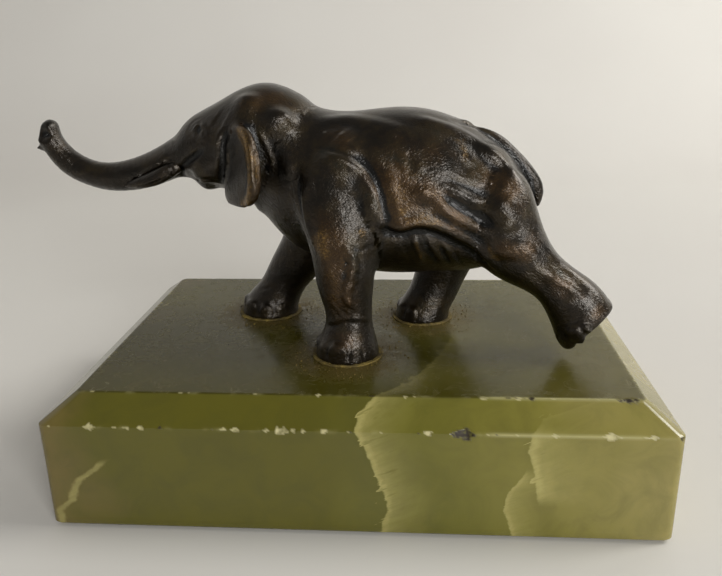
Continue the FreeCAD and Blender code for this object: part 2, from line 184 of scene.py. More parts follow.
def smoothLine(points, step=0.35):
    # a Catmull-Rom line through the points, as a hand draws it
    points = [np.array(p, float) for p in points]
    if len(points) == 1:
        return np.array(points)
    points = [2 * points[0] - points[1]] + points + [2 * points[-1] - points[-2]]
    line = []
    for a, b, c, d in zip(points, points[1:], points[2:], points[3:]):
        count = max(2, int(np.linalg.norm(c - b) / step))
        for t in np.arange(count) / count:
            line.append(0.5 * (2 * b + (c - a) * t + (2 * a - 5 * b + 4 * c - d) * t ** 2
                               + (3 * b - a - 3 * c + d) * t ** 3))
    line.append(points[-2])
    return np.array(line)


# where a stroke is drawn from: (position of the two given numbers, start, direction)
views = {
    "near": ((0, 2), (0, -80, 0), (0, 1, 0)),
    "far": ((0, 2), (0, 80, 0), (0, -1, 0)),
    "top": ((0, 1), (0, 0, 120), (0, 0, -1)),
}


def ontoSkin(clay, line, view):
    if view == "space":
        return line
    (first, second), start, direction = views[view]
    hits = []
    for point in line:
        origin = np.array(start, float)
        origin[first] += point[0]
        origin[second] += point[1]
        hit = clay["skin"].ray_cast(Vector(origin), Vector(direction))[0]
        if hit is not None:
            hits.append(hit)
    return np.array(hits, float).reshape(-1, 3)


def sidesOf(view):
    return ("near", "far") if view == "both" else (view,)


def underStroke(clay, line, view, reach):
    # the clay within reach of a line on the skin: which, how far, how much of the stroke it takes,
    # and on which hand of the line it lies
    line = ontoSkin(clay, line, view)
    nothing = np.array([], int)
    if not len(line):
        return nothing, np.array([]), np.array([]), np.array([])
    places = clay["places"]
    low, high = line.min(0) - reach, line.max(0) + reach
    near = np.flatnonzero(((places > low) & (places < high)).all(1))
    if not len(near):
        return nothing, np.array([]), np.array([]), np.array([])
    gaps = np.linalg.norm(places[near][:, None, :] - line[None, :, :], axis=2)
    taper = np.ones(len(line))
    ends = min(len(line) // 3, 6)
    if ends:
        taper[:ends] = np.linspace(0.35, 1, ends)
        taper[-ends:] = np.linspace(1, 0.35, ends)
    closest = gaps.argmin(1)
    distance = gaps[np.arange(len(near)), closest]
    facing = np.ones(len(near))
    hand = np.ones(len(near))
    if view != "space":
        facing = np.clip(-(clay["normals"][near] @ np.array(views[view][2], float)) * 4 + 0.6, 0, 1)
        across, up = views[view][0]
        if len(line) > 1:
            along = np.gradient(line, axis=0)[closest]
            offset = places[near] - line[closest]
            hand = np.sign(along[:, across] * offset[:, up] - along[:, up] * offset[:, across])
    keep = distance < reach
    return near[keep], distance[keep], (facing * taper[closest])[keep], hand[keep]


def swell(clay, view, width, height, points):
    # raises (or, with a height below zero, presses in) a soft ridge or bump
    for side in sidesOf(view):
        line = smoothLine(points)
        who, distance, share, _ = underStroke(clay, line, side, width)
        lift = height * (1 - (distance / width) ** 2) ** 2 * share
        clay["places"][who] += clay["normals"][who] * lift[:, None]


def crease(clay, view, width, depth, points, bank=0.3):
    # a drawn groove: sharp in the middle, with the clay pushed up a little on both banks
    for side in sidesOf(view):
        line = smoothLine(points)
        who, distance, share, _ = underStroke(clay, line, side, width * 2.4)
        across = distance / width
        cut = -np.exp(-(across * 1.6) ** 2) + bank * np.exp(-((across - 1.35) * 2.2) ** 2)
        clay["places"][who] += clay["normals"][who] * (cut * depth * share)[:, None]


def ledge(clay, view, width, height, points):
    # a step: the clay on the left hand of the line stands over the clay on its right hand
    for side in sidesOf(view):
        line = smoothLine(points)
        who, distance, share, hand = underStroke(clay, line, side, width)
        across = distance / width
        step = height * hand * np.tanh(5 * across) * (1 - across ** 2) ** 2 * share
        clay["places"][who] += clay["normals"][who] * step[:, None]


def strokeAll(clay, tool, strokes):
    for stroke in strokes:
        tool(clay, *stroke)
    findNormals(clay)


def ringFold(clay, centre, along, radius, width, depth, lean=0.0):
    # a wrinkle that goes round a limb, drawn as a slightly wandering cut square to its line
    along = np.array(along, float)
    along /= np.linalg.norm(along)
    offset = clay["places"] - np.array(centre, float)
    who = np.flatnonzero(np.linalg.norm(offset, axis=1) < radius)
    height = offset[who] @ along
    height += lean * offset[who, 1]
    height += 0.35 * np.sin(offset[who, 1] * 1.3 + centre[0]) * width
    cut = -np.exp(-(height / width * 1.6) ** 2) + 0.3 * np.exp(-((abs(height) / width - 1.35) * 2.2) ** 2)
    clay["places"][who] += clay["normals"][who] * (cut * depth)[:, None]


def rub(clay, layer, view, reach, strength, points):
    # lays worn colour into one of the surface's layers
    for side in sidesOf(view):
        who, distance, share, _ = underStroke(clay, smoothLine(points), side, reach)
        amount = strength * (1 - (distance / reach) ** 2) * np.sqrt(share)
        clay[layer][who] = np.maximum(clay[layer][who], amount)


def saveLayers(clay, layers):
    for layer in layers:
        attribute = clay["piece"].data.attributes.new(layer, "FLOAT", "POINT")
        attribute.data.foreach_set("value", clay[layer].astype(np.float32))


def addLump(place, radii, turn=(0, 0, 0)):
    # a ball of clay: place and radii in millimetres, turn in degrees
    deselectAll()
    x, y, z = place
    bpy.ops.mesh.primitive_uv_sphere_add(
        segments=20, ring_count=12, radius=1, location=(x * mm, y * mm, (z + topFace) * mm),
        rotation=[math.radians(t) for t in turn])
    lump = bpy.context.active_object
    lump.scale = [r * mm for r in radii]
    applyPlace(lump)
    return lump


def addRoll(points, radii, sides=12):
    # a roll of clay along a line, thicker and thinner as it goes
    curve = bpy.data.curves.new("roll", "CURVE")
    curve.dimensions = "3D"
    curve.bevel_depth = mm
    curve.bevel_resolution = sides // 4
    curve.use_fill_caps = True
    spline = curve.splines.new("NURBS")
    spline.points.add(len(points) - 1)
    for point, (x, y, z), radius in zip(spline.points, points, radii):
        point.co = (x * mm, y * mm, (z + topFace) * mm, 1)
        point.radius = radius
    spline.order_u = 3
    spline.use_endpoint_u = True
    spline.resolution_u = 4
    roll = bpy.data.objects.new("roll", curve)
    bpy.context.scene.collection.objects.link(roll)
    choose(roll)
    bpy.ops.object.convert(target="MESH")
    return bpy.context.active_object


# casting: the elephant

casting = {
    "roughVoxel": 0.7,    # mm, for joining the big forms
    "fineVoxel": 0.42,    # mm, for everything a modelling tool leaves
    "skinVoxel": 0.49,    # mm, for the last skin, which keeps the piece under 200,000 triangles
    "blendRounds": 26,    # how far the joints between limb and body are filled
    "nailHeight": 2.2,
    "soleCut": 1.0,    # mm of rounded rim that is dressed away under a foot
    "soleFlare": 0.055,
    "nailHalf": (0.75, 2.2, 2.2),  # thickness, half width and half height of a full-sized nail
}

earRim = [(-28.4, -15.2, 55.0), (-26.2, -17.4, 55.2), (-24.2, -20.2, 53.0), (-23.1, -22.2, 49.2),
          (-22.8, -23.3, 45.2), (-23.3, -23.2, 41.6), (-24.4, -22.3, 39.4), (-25.4, -21.2, 38.6)]

# toes: foot centre, direction the sole faces, direction the toes point, foot radius, (nail angle, size)
feet = {
    "near_fore": ((-3.3, -18.4, 0.4), (0, 0, -1), (-1, 0, 0), 7.4,
                  ((-46, 0.8), (-6, 1.0), (36, 0.85), (76, 1.2), (112, 0.8))),
    "far_fore": ((-28.0, 11.4, 0.4), (0, 0, -1), (-1, 0, 0), 7.4,
                 ((-88, 0.9), (-44, 1.0), (2, 1.1), (47, 1.1), (90, 0.95), (122, 0.7))),
    "far_hind": ((15.4, 8.2, 0.4), (0, 0, -1), (-1, 0, 0), 6.8,
                 ((-52, 0.85), (-14, 1.0), (24, 1.0), (62, 0.9))),
    "near_hind": ((54.3, -17.0, 7.8), (0.72, 0, -0.70), (-0.70, 0, -0.72), 6.7,
                  ((-40, 0.7), (30, 0.7), (66, 1.0), (94, 0.6))),
}


def mirrored(points):
    return [(x, 2 * midline - y, z) for x, y, z in points]


def nailPlaces():
    # for every nail: the foot's centre and radius, its three directions, and the nail's angle and size
    for centre, sole, toes, radius, nails in feet.values():
        centre, sole, toes = Vector(centre), Vector(sole).normalized(), Vector(toes).normalized()
        across = toes.cross(sole)
        if across.y > 0:
            across = -across
        for angle, size in nails:
            yield centre, sole, toes, across, radius, math.radians(angle), size


def addNails():
    nails = []
    thick, halfWide, halfHigh = casting["nailHalf"]
    for centre, sole, toes, across, radius, turn, size in nailPlaces():
        out = toes * math.cos(turn) + across * math.sin(turn)
        place = centre + out * (radius - 0.45) - sole * casting["nailHeight"] * (0.6 + 0.4 * size)
        frameOfNail = Matrix((out, sole.cross(out), -sole)).transposed()
        nails.append(addLump(place, (thick, halfWide * size, halfHigh * size),
                             [math.degrees(a) for a in frameOfNail.to_euler()]))
    return nails


def outlineNails(clay):
    # the cuticle groove that arches over every nail
    _, halfWide, halfHigh = casting["nailHalf"]
    for centre, sole, toes, across, radius, turn, size in nailPlaces():
        arch = []
        for t in np.linspace(math.radians(-35), math.radians(215), 13):
            there = turn + halfWide * size * 1.08 * math.cos(t) / radius
            height = casting["nailHeight"] * (0.6 + 0.4 * size) + halfHigh * size * 1.05 * math.sin(t)
            out = toes * math.cos(there) + across * math.sin(there)
            arch.append(tuple(centre + out * (radius + 0.15 - 0.05 * height) - sole * height))
        crease(clay, "space", 0.5, 0.32, arch)
    findNormals(clay)


def flattenSoles(clay):
    # the casting is dressed flat under each foot, so its widest ring is the sole itself
    for name, (centre, sole, toes, radius, nails) in feet.items():
        centre, sole = np.array(centre), np.array(sole) / np.linalg.norm(sole)
        away = clay["places"] - centre
        down = away @ sole
        level = away - down[:, None] * sole
        reach = np.linalg.norm(level, axis=1)
        bottom = 0.4 if name != "near_hind" else 0.6 + 1.5 * np.clip(1 - (reach / 7.6) ** 2, 0, 1)
        depth = bottom - down
        cut = casting["soleCut"]
        near = (reach < radius + 3) & (depth < 2 * cut) & (down > -6)
        moved = np.clip((depth - cut) * 2, 0.02, 2 * cut)
        shift = np.where(near, depth - moved, 0)
        flare = np.where(near, casting["soleFlare"] * (1 - moved / (2 * cut)), 0)
        clay["places"] += shift[:, None] * sole + level * flare[:, None]
    findNormals(clay)


def addClay():
    # forms laid on over the plain body before it is blended
    lumps = [
        addLump((-4.0, -15.4, 43.0), (8.0, 5.0, 9.0), (0, 14, 0)),    # near shoulder
        addLump((-6.0, 9.0, 43.0), (8.0, 4.6, 9.0), (0, 14, 0)),    # far shoulder
        addLump((1.2, -18.6, 31.4), (2.6, 3.4, 2.9)),    # near elbow
        addLump((-3.6, 12.2, 27.5), (2.4, 3.4, 2.8)),    # far elbow
        addLump((34.0, -15.2, 35.4), (5.6, 5.4, 7.6), (0, -24, 0)),    # near thigh
        addLump((28.5, 7.0, 33.0), (6.4, 5.6, 9.0), (0, -10, 0)),    # far thigh
        addLump((35.0, -17.4, 27.4), (3.6, 3.2, 2.7)),    # near stifle
        addLump((56.8, -17.2, 13.9), (2.8, 4.4, 2.2), (0, 46, 0)),    # heel of the raised foot
        addLump((50.0, -17.2, 4.6), (2.2, 4.2, 2.0), (0, 46, 0)),    # its toe
        addLump((-79.5, -3.0, 52.4), (2.3, 2.9, 2.8)),    # flared end of the trunk
        addLump((-78.6, -3.2, 54.4), (2.3, 2.7, 2.3)),    # its upper lip
        addLump((-58.0, -3.5, 40.6), (5.0, 3.0, 1.6)),    # underside of the trunk
    ]
    for side in (-1, 1):
        lumps += [
            addLump((-19.8, midline + side * 9.4, 55.4), (5.0, 2.8, 4.0), (0, -20, 0)),  # temple pad
            addLump((-25.6, midline + side * 6.6, 58.2), (4.8, 4.2, 4.6)),    # dome half
            addLump((-37.2, midline + side * 7.2, 45.6), (3.6, 2.8, 4.4), (0, 20, 0)),   # cheek
            addLump((-37.6, midline + side * 7.8, 54.0), (1.9, 1.2, 1.6)),    # eye
            addLump((30.5, midline + side * 7.2, 44.8), (7.0, 4.4, 5.6), (0, 34, 0)),    # rump
        ]
    return lumps


def buildCasting():
    body = copyOfNode("elephant_casting", "bronze_elephant")
    body = joinPieces([body] + addClay())
    remesh(body, casting["roughVoxel"])
    clay = readClay(body)
    relax(clay, 4, 0.5)
    relax(clay, casting["blendRounds"], 0.6, onlyHollows=True)
    relax(clay, 4, 0.5)
    writeClay(clay)
    print("casting: big forms", len(body.data.vertices))

    rims = []
    for line in (earRim, mirrored(earRim)):
        rims.append(addRoll(line, [0.8, 1.15, 1.4, 1.6, 1.65, 1.6, 1.3, 0.8]))
    tail = addRoll([(21.0, -3.5, 54.2), (25.8, -3.5, 53.0), (29.4, -3.5, 51.7), (33.4, -3.5, 49.8),
                    (36.3, -3.5, 47.4), (39.3, -3.6, 44.7), (42.2, -3.7, 41.3), (43.6, -3.7, 38.8),
                    (43.7, -3.8, 36.0), (43.2, -3.9, 34.0)],
                   [0.6, 1.4, 1.9, 1.9, 1.7, 1.55, 1.5, 1.4, 1.2, 0.7])
    finger = addRoll([(-79.0, -4.0, 49.6), (-81.0, -4.2, 49.5), (-82.4, -4.4, 49.6)], [1.6, 0.8, 0.3])
    body = joinPieces([body] + rims + [tail, finger] + addNails())
    remesh(body, casting["fineVoxel"])
    clay = readClay(body)
    relax(clay, 2, 0.4)
    relax(clay, 6, 0.6, onlyHollows=True)
    fillHollows(clay, (30.0, midline, 51.5), (6.0, 4.0, 4.0), 40)    # root of the tail
    flattenSoles(clay)
    print("casting: fine forms", len(body.data.vertices))
    return clay


# the strokes: view, width, height or depth, line

bodySwells = [
    ("both", 3.2, 0.45, [(-8.3, 55.7), (-3.2, 56.5), (3.0, 55.6), (10.5, 53.7)]),    # top of the blade
    ("both", 4.8, 0.6, [(-4.6, 53.2), (-1.6, 51.6)]),    # blade
    # crest of the rump
    ("both", 2.6, 0.6, [(14.0, 56.4), (21.2, 54.2), (26.6, 51.6), (32.1, 47.7), (36.8, 43.4)]),
    ("both", 3.2, 0.45, [(13.2, 42.6), (16.4, 40.4)]),    # end of the last rib
    ("both", 2.3, 0.45, [(13.6, 40.8), (17.2, 40.2), (20.2, 37.4), (23.6, 34.6), (26.8, 32.8),
                       (30.2, 30.9)]),
    ("both", 2.2, 0.4, [(20.6, 41.9), (24.9, 40.0), (29.4, 37.7)]),
    ("both", 4.4, 0.8, [(31.3, 38.9), (33.9, 35.4), (35.5, 31.8)]),
    ("both", 3.0, 0.3, [(6.2, 44.6), (8.2, 38.6), (9.4, 34.0)]),
    ("both", 3.0, -0.4, [(23.0, 48.0), (26.0, 44.8)]),
    ("both", 3.6, 0.35, [(30.0, 44.0), (35.0, 41.4)]),
]

headSwells = [
    ("both", 4.2, -0.5, [(-33.9, 57.4), (-31.4, 56.6)]),    # temple hollow
    ("both", 3.0, -0.7, [(-39.2, 54.4), (-37.4, 55.0)]),    # eye socket
    ("both", 1.1, 0.5, [(-37.5, 53.9)]),    # eyeball
    ("both", 0.9, 0.4, [(-39.8, 54.2), (-38.9, 55.3), (-37.5, 55.5), (-36.2, 54.7), (-35.7, 53.7)]),
    ("both", 0.8, 0.3, [(-39.2, 53.4), (-38.3, 52.8), (-37.0, 52.6), (-35.9, 53.2)]),
    ("both", 1.6, 0.55, [(-41.4, 46.4), (-44.4, 45.6), (-47.0, 45.8), (-48.8, 45.4)]),  # tusk sheath
    ("both", 2.6, 0.4, [(-35.6, 48.0), (-35.4, 44.6)]),    # jaw muscle
    ("both", 2.8, 0.65, [(-16.9, 47.4), (-16.0, 43.4)]),    # neck bulge
    ("both", 1.6, -0.9, [(-22.6, 51.6), (-21.8, 48.0), (-21.6, 43.4)]),    # behind the ear
    ("both", 0.9, 0.45, [(-22.8, 54.6), (-21.4, 51.0), (-20.3, 48.1), (-19.9, 44.0)]),
    ("both", 1.7, 0.4, [(-10.8, 45.4), (-10.9, 40.5)]),
]

bodyLedges = [
    # shoulder over the ribs, flank over the belly, arm over the chest, upper leg over the foot
    ("near", 4.0, -0.6, [(-7.8, 50.0), (-3.4, 49.2), (0.9, 46.8), (3.9, 42.6), (5.2, 38.4), (6.0, 34.4),
                          (5.4, 30.6)]),
    ("far", 3.6, -0.75, [(-9.8, 50.0), (-5.6, 49.0), (-1.6, 46.2), (0.4, 42.0), (0.0, 38.0), (-1.6, 34.0),
                         (-3.6, 30.2)]),
    ("near", 3.6, 0.85, [(6.4, 33.0), (9.8, 32.0), (14.0, 33.0), (17.8, 32.2), (21.7, 30.3), (26.8, 27.0),
                         (31.0, 23.0)]),
    ("far", 3.2, 0.9, [(5.4, 32.6), (9.4, 31.8), (13.4, 30.6), (15.8, 26.6), (16.6, 21.2)]),
    ("near", 2.6, 0.65, [(-12.9, 43.1), (-13.1, 39.2), (-12.4, 33.7), (-10.6, 28.8)]),
    ("far", 2.6, 0.65, [(-18.4, 44.0), (-19.4, 40.0), (-20.6, 35.0), (-22.6, 29.4)]),
    ("near", 1.9, 0.2, [(-9.0, 8.8), (-5.8, 9.6), (-3.2, 10.8), (0.3, 10.4), (3.2, 9.4)]),
    ("far", 1.9, 0.4, [(-31.6, 9.4), (-28.6, 9.6), (-25.0, 8.6), (-21.0, 7.2)]),
    ("far", 1.9, 0.4, [(12.0, 9.2), (16.0, 9.4), (20.0, 9.0), (24.6, 8.4)]),
]

bodyCreases = [
    ("both", 2.0, 0.5, [(20.2, 39.8), (23.4, 37.4), (28.1, 34.8), (31.4, 33.4)]),
    ("both", 1.6, 0.25, [(19.4, 44.0), (23.6, 42.4), (28.4, 40.2)]),
    ("both", 1.6, 0.35, [(22.4, 55.4), (28.0, 53.6), (33.6, 50.0), (38.2, 45.4), (40.8, 41.4),
                       (42.0, 38.0)]),
    ("both", 1.5, 0.22, [(11.5, 50.0), (13.0, 45.0)]),
]

headCreases = [
    ("both", 1.1, 0.9, [(-44.6, 42.8), (-43.9, 45.0), (-42.2, 46.4), (-39.6, 48.2), (-37.6, 49.6)]),
    ("both", 1.2, 1.0, [(-31.0, 54.0), (-31.9, 51.0), (-32.3, 47.7), (-32.9, 44.6), (-33.6, 42.0)]),
    ("both", 0.45, 0.28, [(-39.4, 53.9), (-38.5, 54.9), (-37.3, 55.0), (-36.3, 54.2)]),
    ("both", 0.5, 0.22, [(-39.6, 52.1), (-38.0, 51.5), (-36.2, 51.7)]),
    ("both", 0.5, 0.2, [(-41.4, 53.5), (-40.6, 55.5), (-39.0, 56.7), (-36.8, 56.7)]),
    ("both", 0.7, 0.5, [(-40.8, 41.6), (-38.8, 42.6), (-36.2, 42.6), (-34.4, 41.8)]),   # mouth line
]

nearCreases = [
    ("near", 0.8, 0.32, [(-1.4, 28.8), (1.0, 28.0), (3.6, 28.6)]),    # under the elbow
    ("near", 0.5, 0.3, [(-3.0, 28.4), (-0.6, 25.6), (2.0, 23.4)]),
    ("near", 0.45, 0.3, [(-3.2, 26.2), (-0.8, 23.4), (1.6, 21.0)]),
    ("near", 0.45, 0.25, [(-3.6, 23.0), (-1.6, 20.6), (0.8, 18.8)]),
    ("near", 0.45, 0.28, [(-4.2, 19.8), (-2.6, 17.4), (-0.2, 15.2)]),
    ("near", 0.45, 0.25, [(-1.0, 21.4), (-2.2, 19.2), (-2.0, 16.8)]),
    ("near", 0.45, 0.28, [(-4.6, 17.4), (-2.6, 14.6), (-0.4, 12.0)]),
    ("near", 0.5, 0.3, [(-6.0, 16.0), (-3.8, 13.2), (-1.6, 11.4)]),
    ("near", 0.45, 0.22, [(-7.2, 14.8), (-5.2, 12.4), (-3.8, 11.2)]),
    ("near", 0.7, 0.12, [(-9.0, 8.4), (-5.8, 9.0), (-3.2, 10.2), (0.3, 9.8)]),
    # folds of skin under the flank
    ("near", 0.6, 0.5, [(15.2, 30.4), (17.2, 26.0), (19.4, 21.8)]),
    ("near", 0.55, 0.4, [(18.8, 29.0), (20.6, 25.2), (22.4, 21.6)]),
    ("near", 0.55, 0.35, [(22.2, 27.4), (23.6, 24.4), (25.4, 21.6)]),
    ("near", 0.6, 0.3, [(10.4, 29.4), (11.6, 25.6), (13.2, 22.0)]),
    ("near", 0.5, 0.2, [(7.4, 29.6), (8.4, 26.0), (10.2, 22.6)]),
    # shank and hock of the raised leg
    ("near", 1.4, 0.2, [(40.0, 29.6), (43.4, 26.0), (47.4, 22.6), (51.2, 19.6)]),
    ("near", 1.2, 0.18, [(39.4, 23.4), (42.6, 19.8), (45.8, 16.2)]),
    ("near", 0.5, 0.25, [(44.0, 23.4), (45.6, 21.8), (46.4, 19.8)]),
    ("near", 0.5, 0.25, [(47.8, 20.2), (49.8, 18.6), (50.8, 16.8)]),
    ("near", 0.45, 0.3, [(48.9, 3.0), (51.6, 5.9), (54.8, 9.2), (58.2, 12.8)]),    # edge of the sole
    ("near", 0.6, 0.25, [(-28.6, 13.6), (-26.6, 13.3), (-24.3, 13.4)]),    # far fore leg, inside
    ("near", 0.6, 0.3, [(-30.0, 8.0), (-28.4, 8.3), (-26.7, 8.9)]),
]

nearSwells = [
    ("near", 1.5, 0.4, [(2.4, 39.6), (3.2, 36.6), (3.4, 33.8)]),
    ("near", 2.4, 0.35, [(-8.7, 34.0), (-7.8, 27.7), (-6.4, 21.1)]),
    ("near", 1.7, 0.8, [(-2.1, 28.1), (-0.9, 25.6), (-1.4, 21.6), (-2.5, 17.3), (-1.8, 13.6)]),
    ("near", 1.2, 0.6, [(12.6, 31.0), (14.0, 27.3), (15.4, 22.8)]),    # folds under the flank
    ("near", 0.9, 0.45, [(16.6, 29.0), (18.6, 25.4), (20.4, 22.0)]),
    ("near", 0.9, 0.4, [(20.2, 28.4), (21.8, 25.2), (23.6, 21.8)]),
    ("near", 2.4, 0.6, [(31.7, 26.9), (34.6, 27.0), (37.0, 26.8)]),    # knee
    ("near", 1.8, 0.45, [(43.4, 22.6), (46.0, 20.4), (49.5, 18.2), (51.8, 16.5)]),
    ("near", 2.6, -0.4, [(41.4, 25.4), (44.6, 24.0)]),
]

farStrokes = [
    ("far", 0.8, 0.5, [(-12.4, 27.0), (-9.6, 25.6), (-7.2, 26.6)]),
    ("far", 0.55, 0.35, [(-20.4, 21.0), (-17.4, 19.2), (-14.2, 18.4)]),
    ("far", 0.5, 0.3, [(-22.4, 17.4), (-19.6, 15.4), (-16.2, 14.6)]),
    ("far", 0.5, 0.3, [(-25.0, 13.0), (-22.0, 11.0), (-19.0, 10.6)]),
    ("far", 0.8, 0.4, [(18.6, 20.4), (22.0, 18.6), (26.6, 19.0)]),
    ("far", 0.6, 0.3, [(14.4, 11.8), (18.4, 10.2), (23.8, 10.8)]),
    ("far", 0.6, 0.35, [(10.8, 28.6), (12.2, 25.2), (13.0, 21.8)]),
    ("far", 0.6, 0.3, [(7.6, 28.8), (8.8, 25.2), (9.8, 21.8)]),
]

trunkLine = [(-48.0, 46.0), (-51.4, 44.2), (-55.0, 43.0), (-58.4, 42.2), (-61.8, 41.8), (-65.2, 41.9),
             (-68.4, 42.6), (-71.4, 43.9), (-74.0, 45.6), (-76.2, 47.8)]


def wrinkleTrunk(clay):
    rows = smoothLine(trunkLine, 1.35)
    for number, (x, z) in enumerate(rows[1:-1]):
        before, after = rows[number], rows[number + 2]
        sway = 0.5 * math.sin(number * 2.7)
        depth = 0.02 + 0.04 * math.sin(number * 1.9) ** 2
        ringFold(clay, (x, midline, z), (after[0] - before[0], 0, after[1] - before[1]),
                 6.5, 0.5, depth, lean=0.06 * sway)
    findNormals(clay)


def openTrunk(clay):
    # the flared end of the trunk: a scooped mouth turned a little to the near side, with a rolled rim
    centre = np.array((-79.4, midline - 2.7, 53.2))
    outward = np.array((-0.3, -0.88, 0.36))
    outward /= np.linalg.norm(outward)
    sideways = np.cross(outward, (0, 0, 1))
    sideways /= np.linalg.norm(sideways)
    upwards = np.cross(sideways, outward)
    rim = [centre + upwards * 3.0 * math.cos(t) + sideways * 2.3 * math.sin(t)
           for t in np.linspace(0, 2 * math.pi, 17)]
    strokeAll(clay, swell, [("space", 1.2, 0.4, [tuple(p) for p in rim])])
    for reach, depth in ((2.6, 0.9), (1.8, 0.8)):
        swell(clay, "space", reach, -depth, [tuple(centre)])
        findNormals(clay)
    for side in (-1, 1):
        place = centre + sideways * side * 1.1 - outward * 1.5
        swell(clay, "space", 1.1, -0.8, [tuple(place)])
    findNormals(clay)


# wear: view, reach, strength, line

brownPlaces = [
    ("both", 4.4, 0.6, [(-25.9, 60.4), (-21.6, 61.9), (-17.3, 60.4)]),
    ("both", 4.0, 0.65, [(-5.4, 53.6), (-1.6, 52.0)]),
    ("both", 6.4, 0.9, [(6.0, 45.0), (9.9, 41.6), (10.8, 37.4), (14.0, 36.0)]),
    ("both", 4.6, 0.7, [(13.0, 42.0), (17.0, 40.0), (21.0, 36.0), (26.0, 33.0)]),
    ("both", 6.0, 0.35, [(6.0, 51.0), (14.0, 49.5), (20.0, 50.5)]),
    ("both", 4.8, 0.6, [(28.7, 44.0), (33.2, 42.6), (36.4, 39.0)]),
    ("near", 5.6, 0.8, [(-7.4, 33.5), (-5.6, 27.0), (-4.6, 20.0), (-4.0, 14.0)]),
    ("near", 3.6, 0.6, [(31.0, 28.0), (37.6, 27.0), (40.6, 29.4)]),
    ("near", 4.2, 0.5, [(45.0, 21.0), (50.0, 17.4)]),
    ("near", 3.4, 0.5, [(-6.0, 6.0), (-1.0, 5.6)]),
    ("near", 2.4, 0.5, [(57.6, 14.2), (55.0, 11.6)]),
    ("far", 5.0, 0.7, [(-16.0, 29.0), (-19.0, 22.0)]),
    ("top", 5.0, 0.4, [(2.0, -3.5), (16.0, -3.5)]),
]

goldPlaces = [
    ("near", 3.4, 0.55, [(-8.4, 33.2), (-8.3, 29.6), (-7.6, 25.6)]),
    ("near", 3.4, 0.35, [(-6.8, 25.0), (-6.0, 20.0), (-4.4, 14.6)]),
    ("near", 2.8, 0.45, [(0.6, 32.8), (1.9, 31.4)]),
    ("both", 2.4, 0.42, [(22.0, 53.2), (24.2, 50.2), (24.3, 46.9)]),
    ("near", 1.2, 0.5, [(12.8, 30.6), (14.1, 27.3), (15.2, 23.6)]),
    ("near", 5.0, 0.38, [(7.6, 43.0), (9.6, 38.4), (11.6, 35.6), (16.0, 35.0), (21.0, 32.8)]),
    ("both", 1.6, 0.35, [(-28.0, 60.6), (-26.0, 61.8)]),
    ("near", 1.6, 0.5, [(30.4, 28.4), (31.4, 26.0), (33.4, 25.0)]),
    ("far", 2.6, 0.7, [(-17.4, 27.6), (-18.8, 23.0)]),
]


bronzeLayers = ("browned", "gilded", "proud", "chased")


def sculptCasting():
    clay = buildCasting()
    skinOf(clay)
    strokeAll(clay, swell, bodySwells + headSwells + nearSwells)
    skinOf(clay)
    fillHollows(clay, (3.4, -17.0, 36.4), (3.4, 6.0, 6.0), 40)    # behind the near arm
    skinOf(clay)
    strokeAll(clay, ledge, bodyLedges)
    relax(clay, 1, 0.4)
    skinOf(clay)
    strokeAll(clay, crease, bodyCreases + headCreases + nearCreases + farStrokes)
    fillHollows(clay, (2.2, -18.0, 34.6), (5.0, 7.0, 5.0), 25)
    writeClay(clay)
    remesh(clay["piece"], casting["skinVoxel"])
    clay = readClay(clay["piece"])
    wrinkleTrunk(clay)
    openTrunk(clay)
    outlineNails(clay)
    relax(clay, 1, 0.3)
    skinOf(clay)

    for layer, places in (("browned", brownPlaces), ("gilded", goldPlaces)):
        clay[layer] = np.zeros(len(clay["places"]))
        for place in places:
            rub(clay, layer, *place)
    for line in (earRim, mirrored(earRim)):
        front = [(x - 0.9, y, z) for x, y, z in line[1:]]
        rub(clay, "gilded", "space", 1.9, 0.9, front)
        rub(clay, "browned", "space", 2.6, 0.6, line)
    markRidges(clay)
    markChasing(clay)
    saveLayers(clay, bronzeLayers)
    return finishClay(clay)


def markRidges(clay):
    # "proud" is 0 in the hollows and 1 on the ridges, for grime and wear
    proud = -((neighbourMean(clay, clay["places"]) - clay["places"]) * clay["normals"]).sum(1)[:, None]
    for _ in range(5):
        proud = neighbourMean(clay, proud)
    clay["proud"] = np.clip(0.5 + proud[:, 0] * 22, 0, 1)


def markChasing(clay):
    # the tooled skin is coarse on the flanks and legs and was rubbed smooth on all that faces up
    chased = np.clip(1.3 - 1.3 * clay["normals"][:, 2], 0.22, 1)[:, None]
    for _ in range(8):
        chased = neighbourMean(clay, chased)
    clay["chased"] = chased[:, 0]


def finishClay(clay):
    writeClay(clay)
    choose(clay["piece"])
    bpy.ops.object.shade_smooth()
    print(clay["piece"].name, "sculpted:", len(clay["piece"].data.polygons), "faces")
    return clay["piece"]


bronzeElephant = sculptCasting()
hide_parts("elephant_casting")
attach(bronzeElephant, "root")


# tusks: small separate castings let into the lips

tusk = {
    "line": [(-44.8, 4.6, 45.4), (-47.8, 5.4, 43.9), (-51.2, 5.7, 42.3), (-54.6, 5.5, 41.4),
             (-57.6, 5.1, 40.8), (-59.0, 4.9, 40.4)],    # x, distance from the midline, height
    "radii": [1.5, 1.95, 1.9, 1.5, 0.85, 0.3],
    "voxel": 0.2,
}


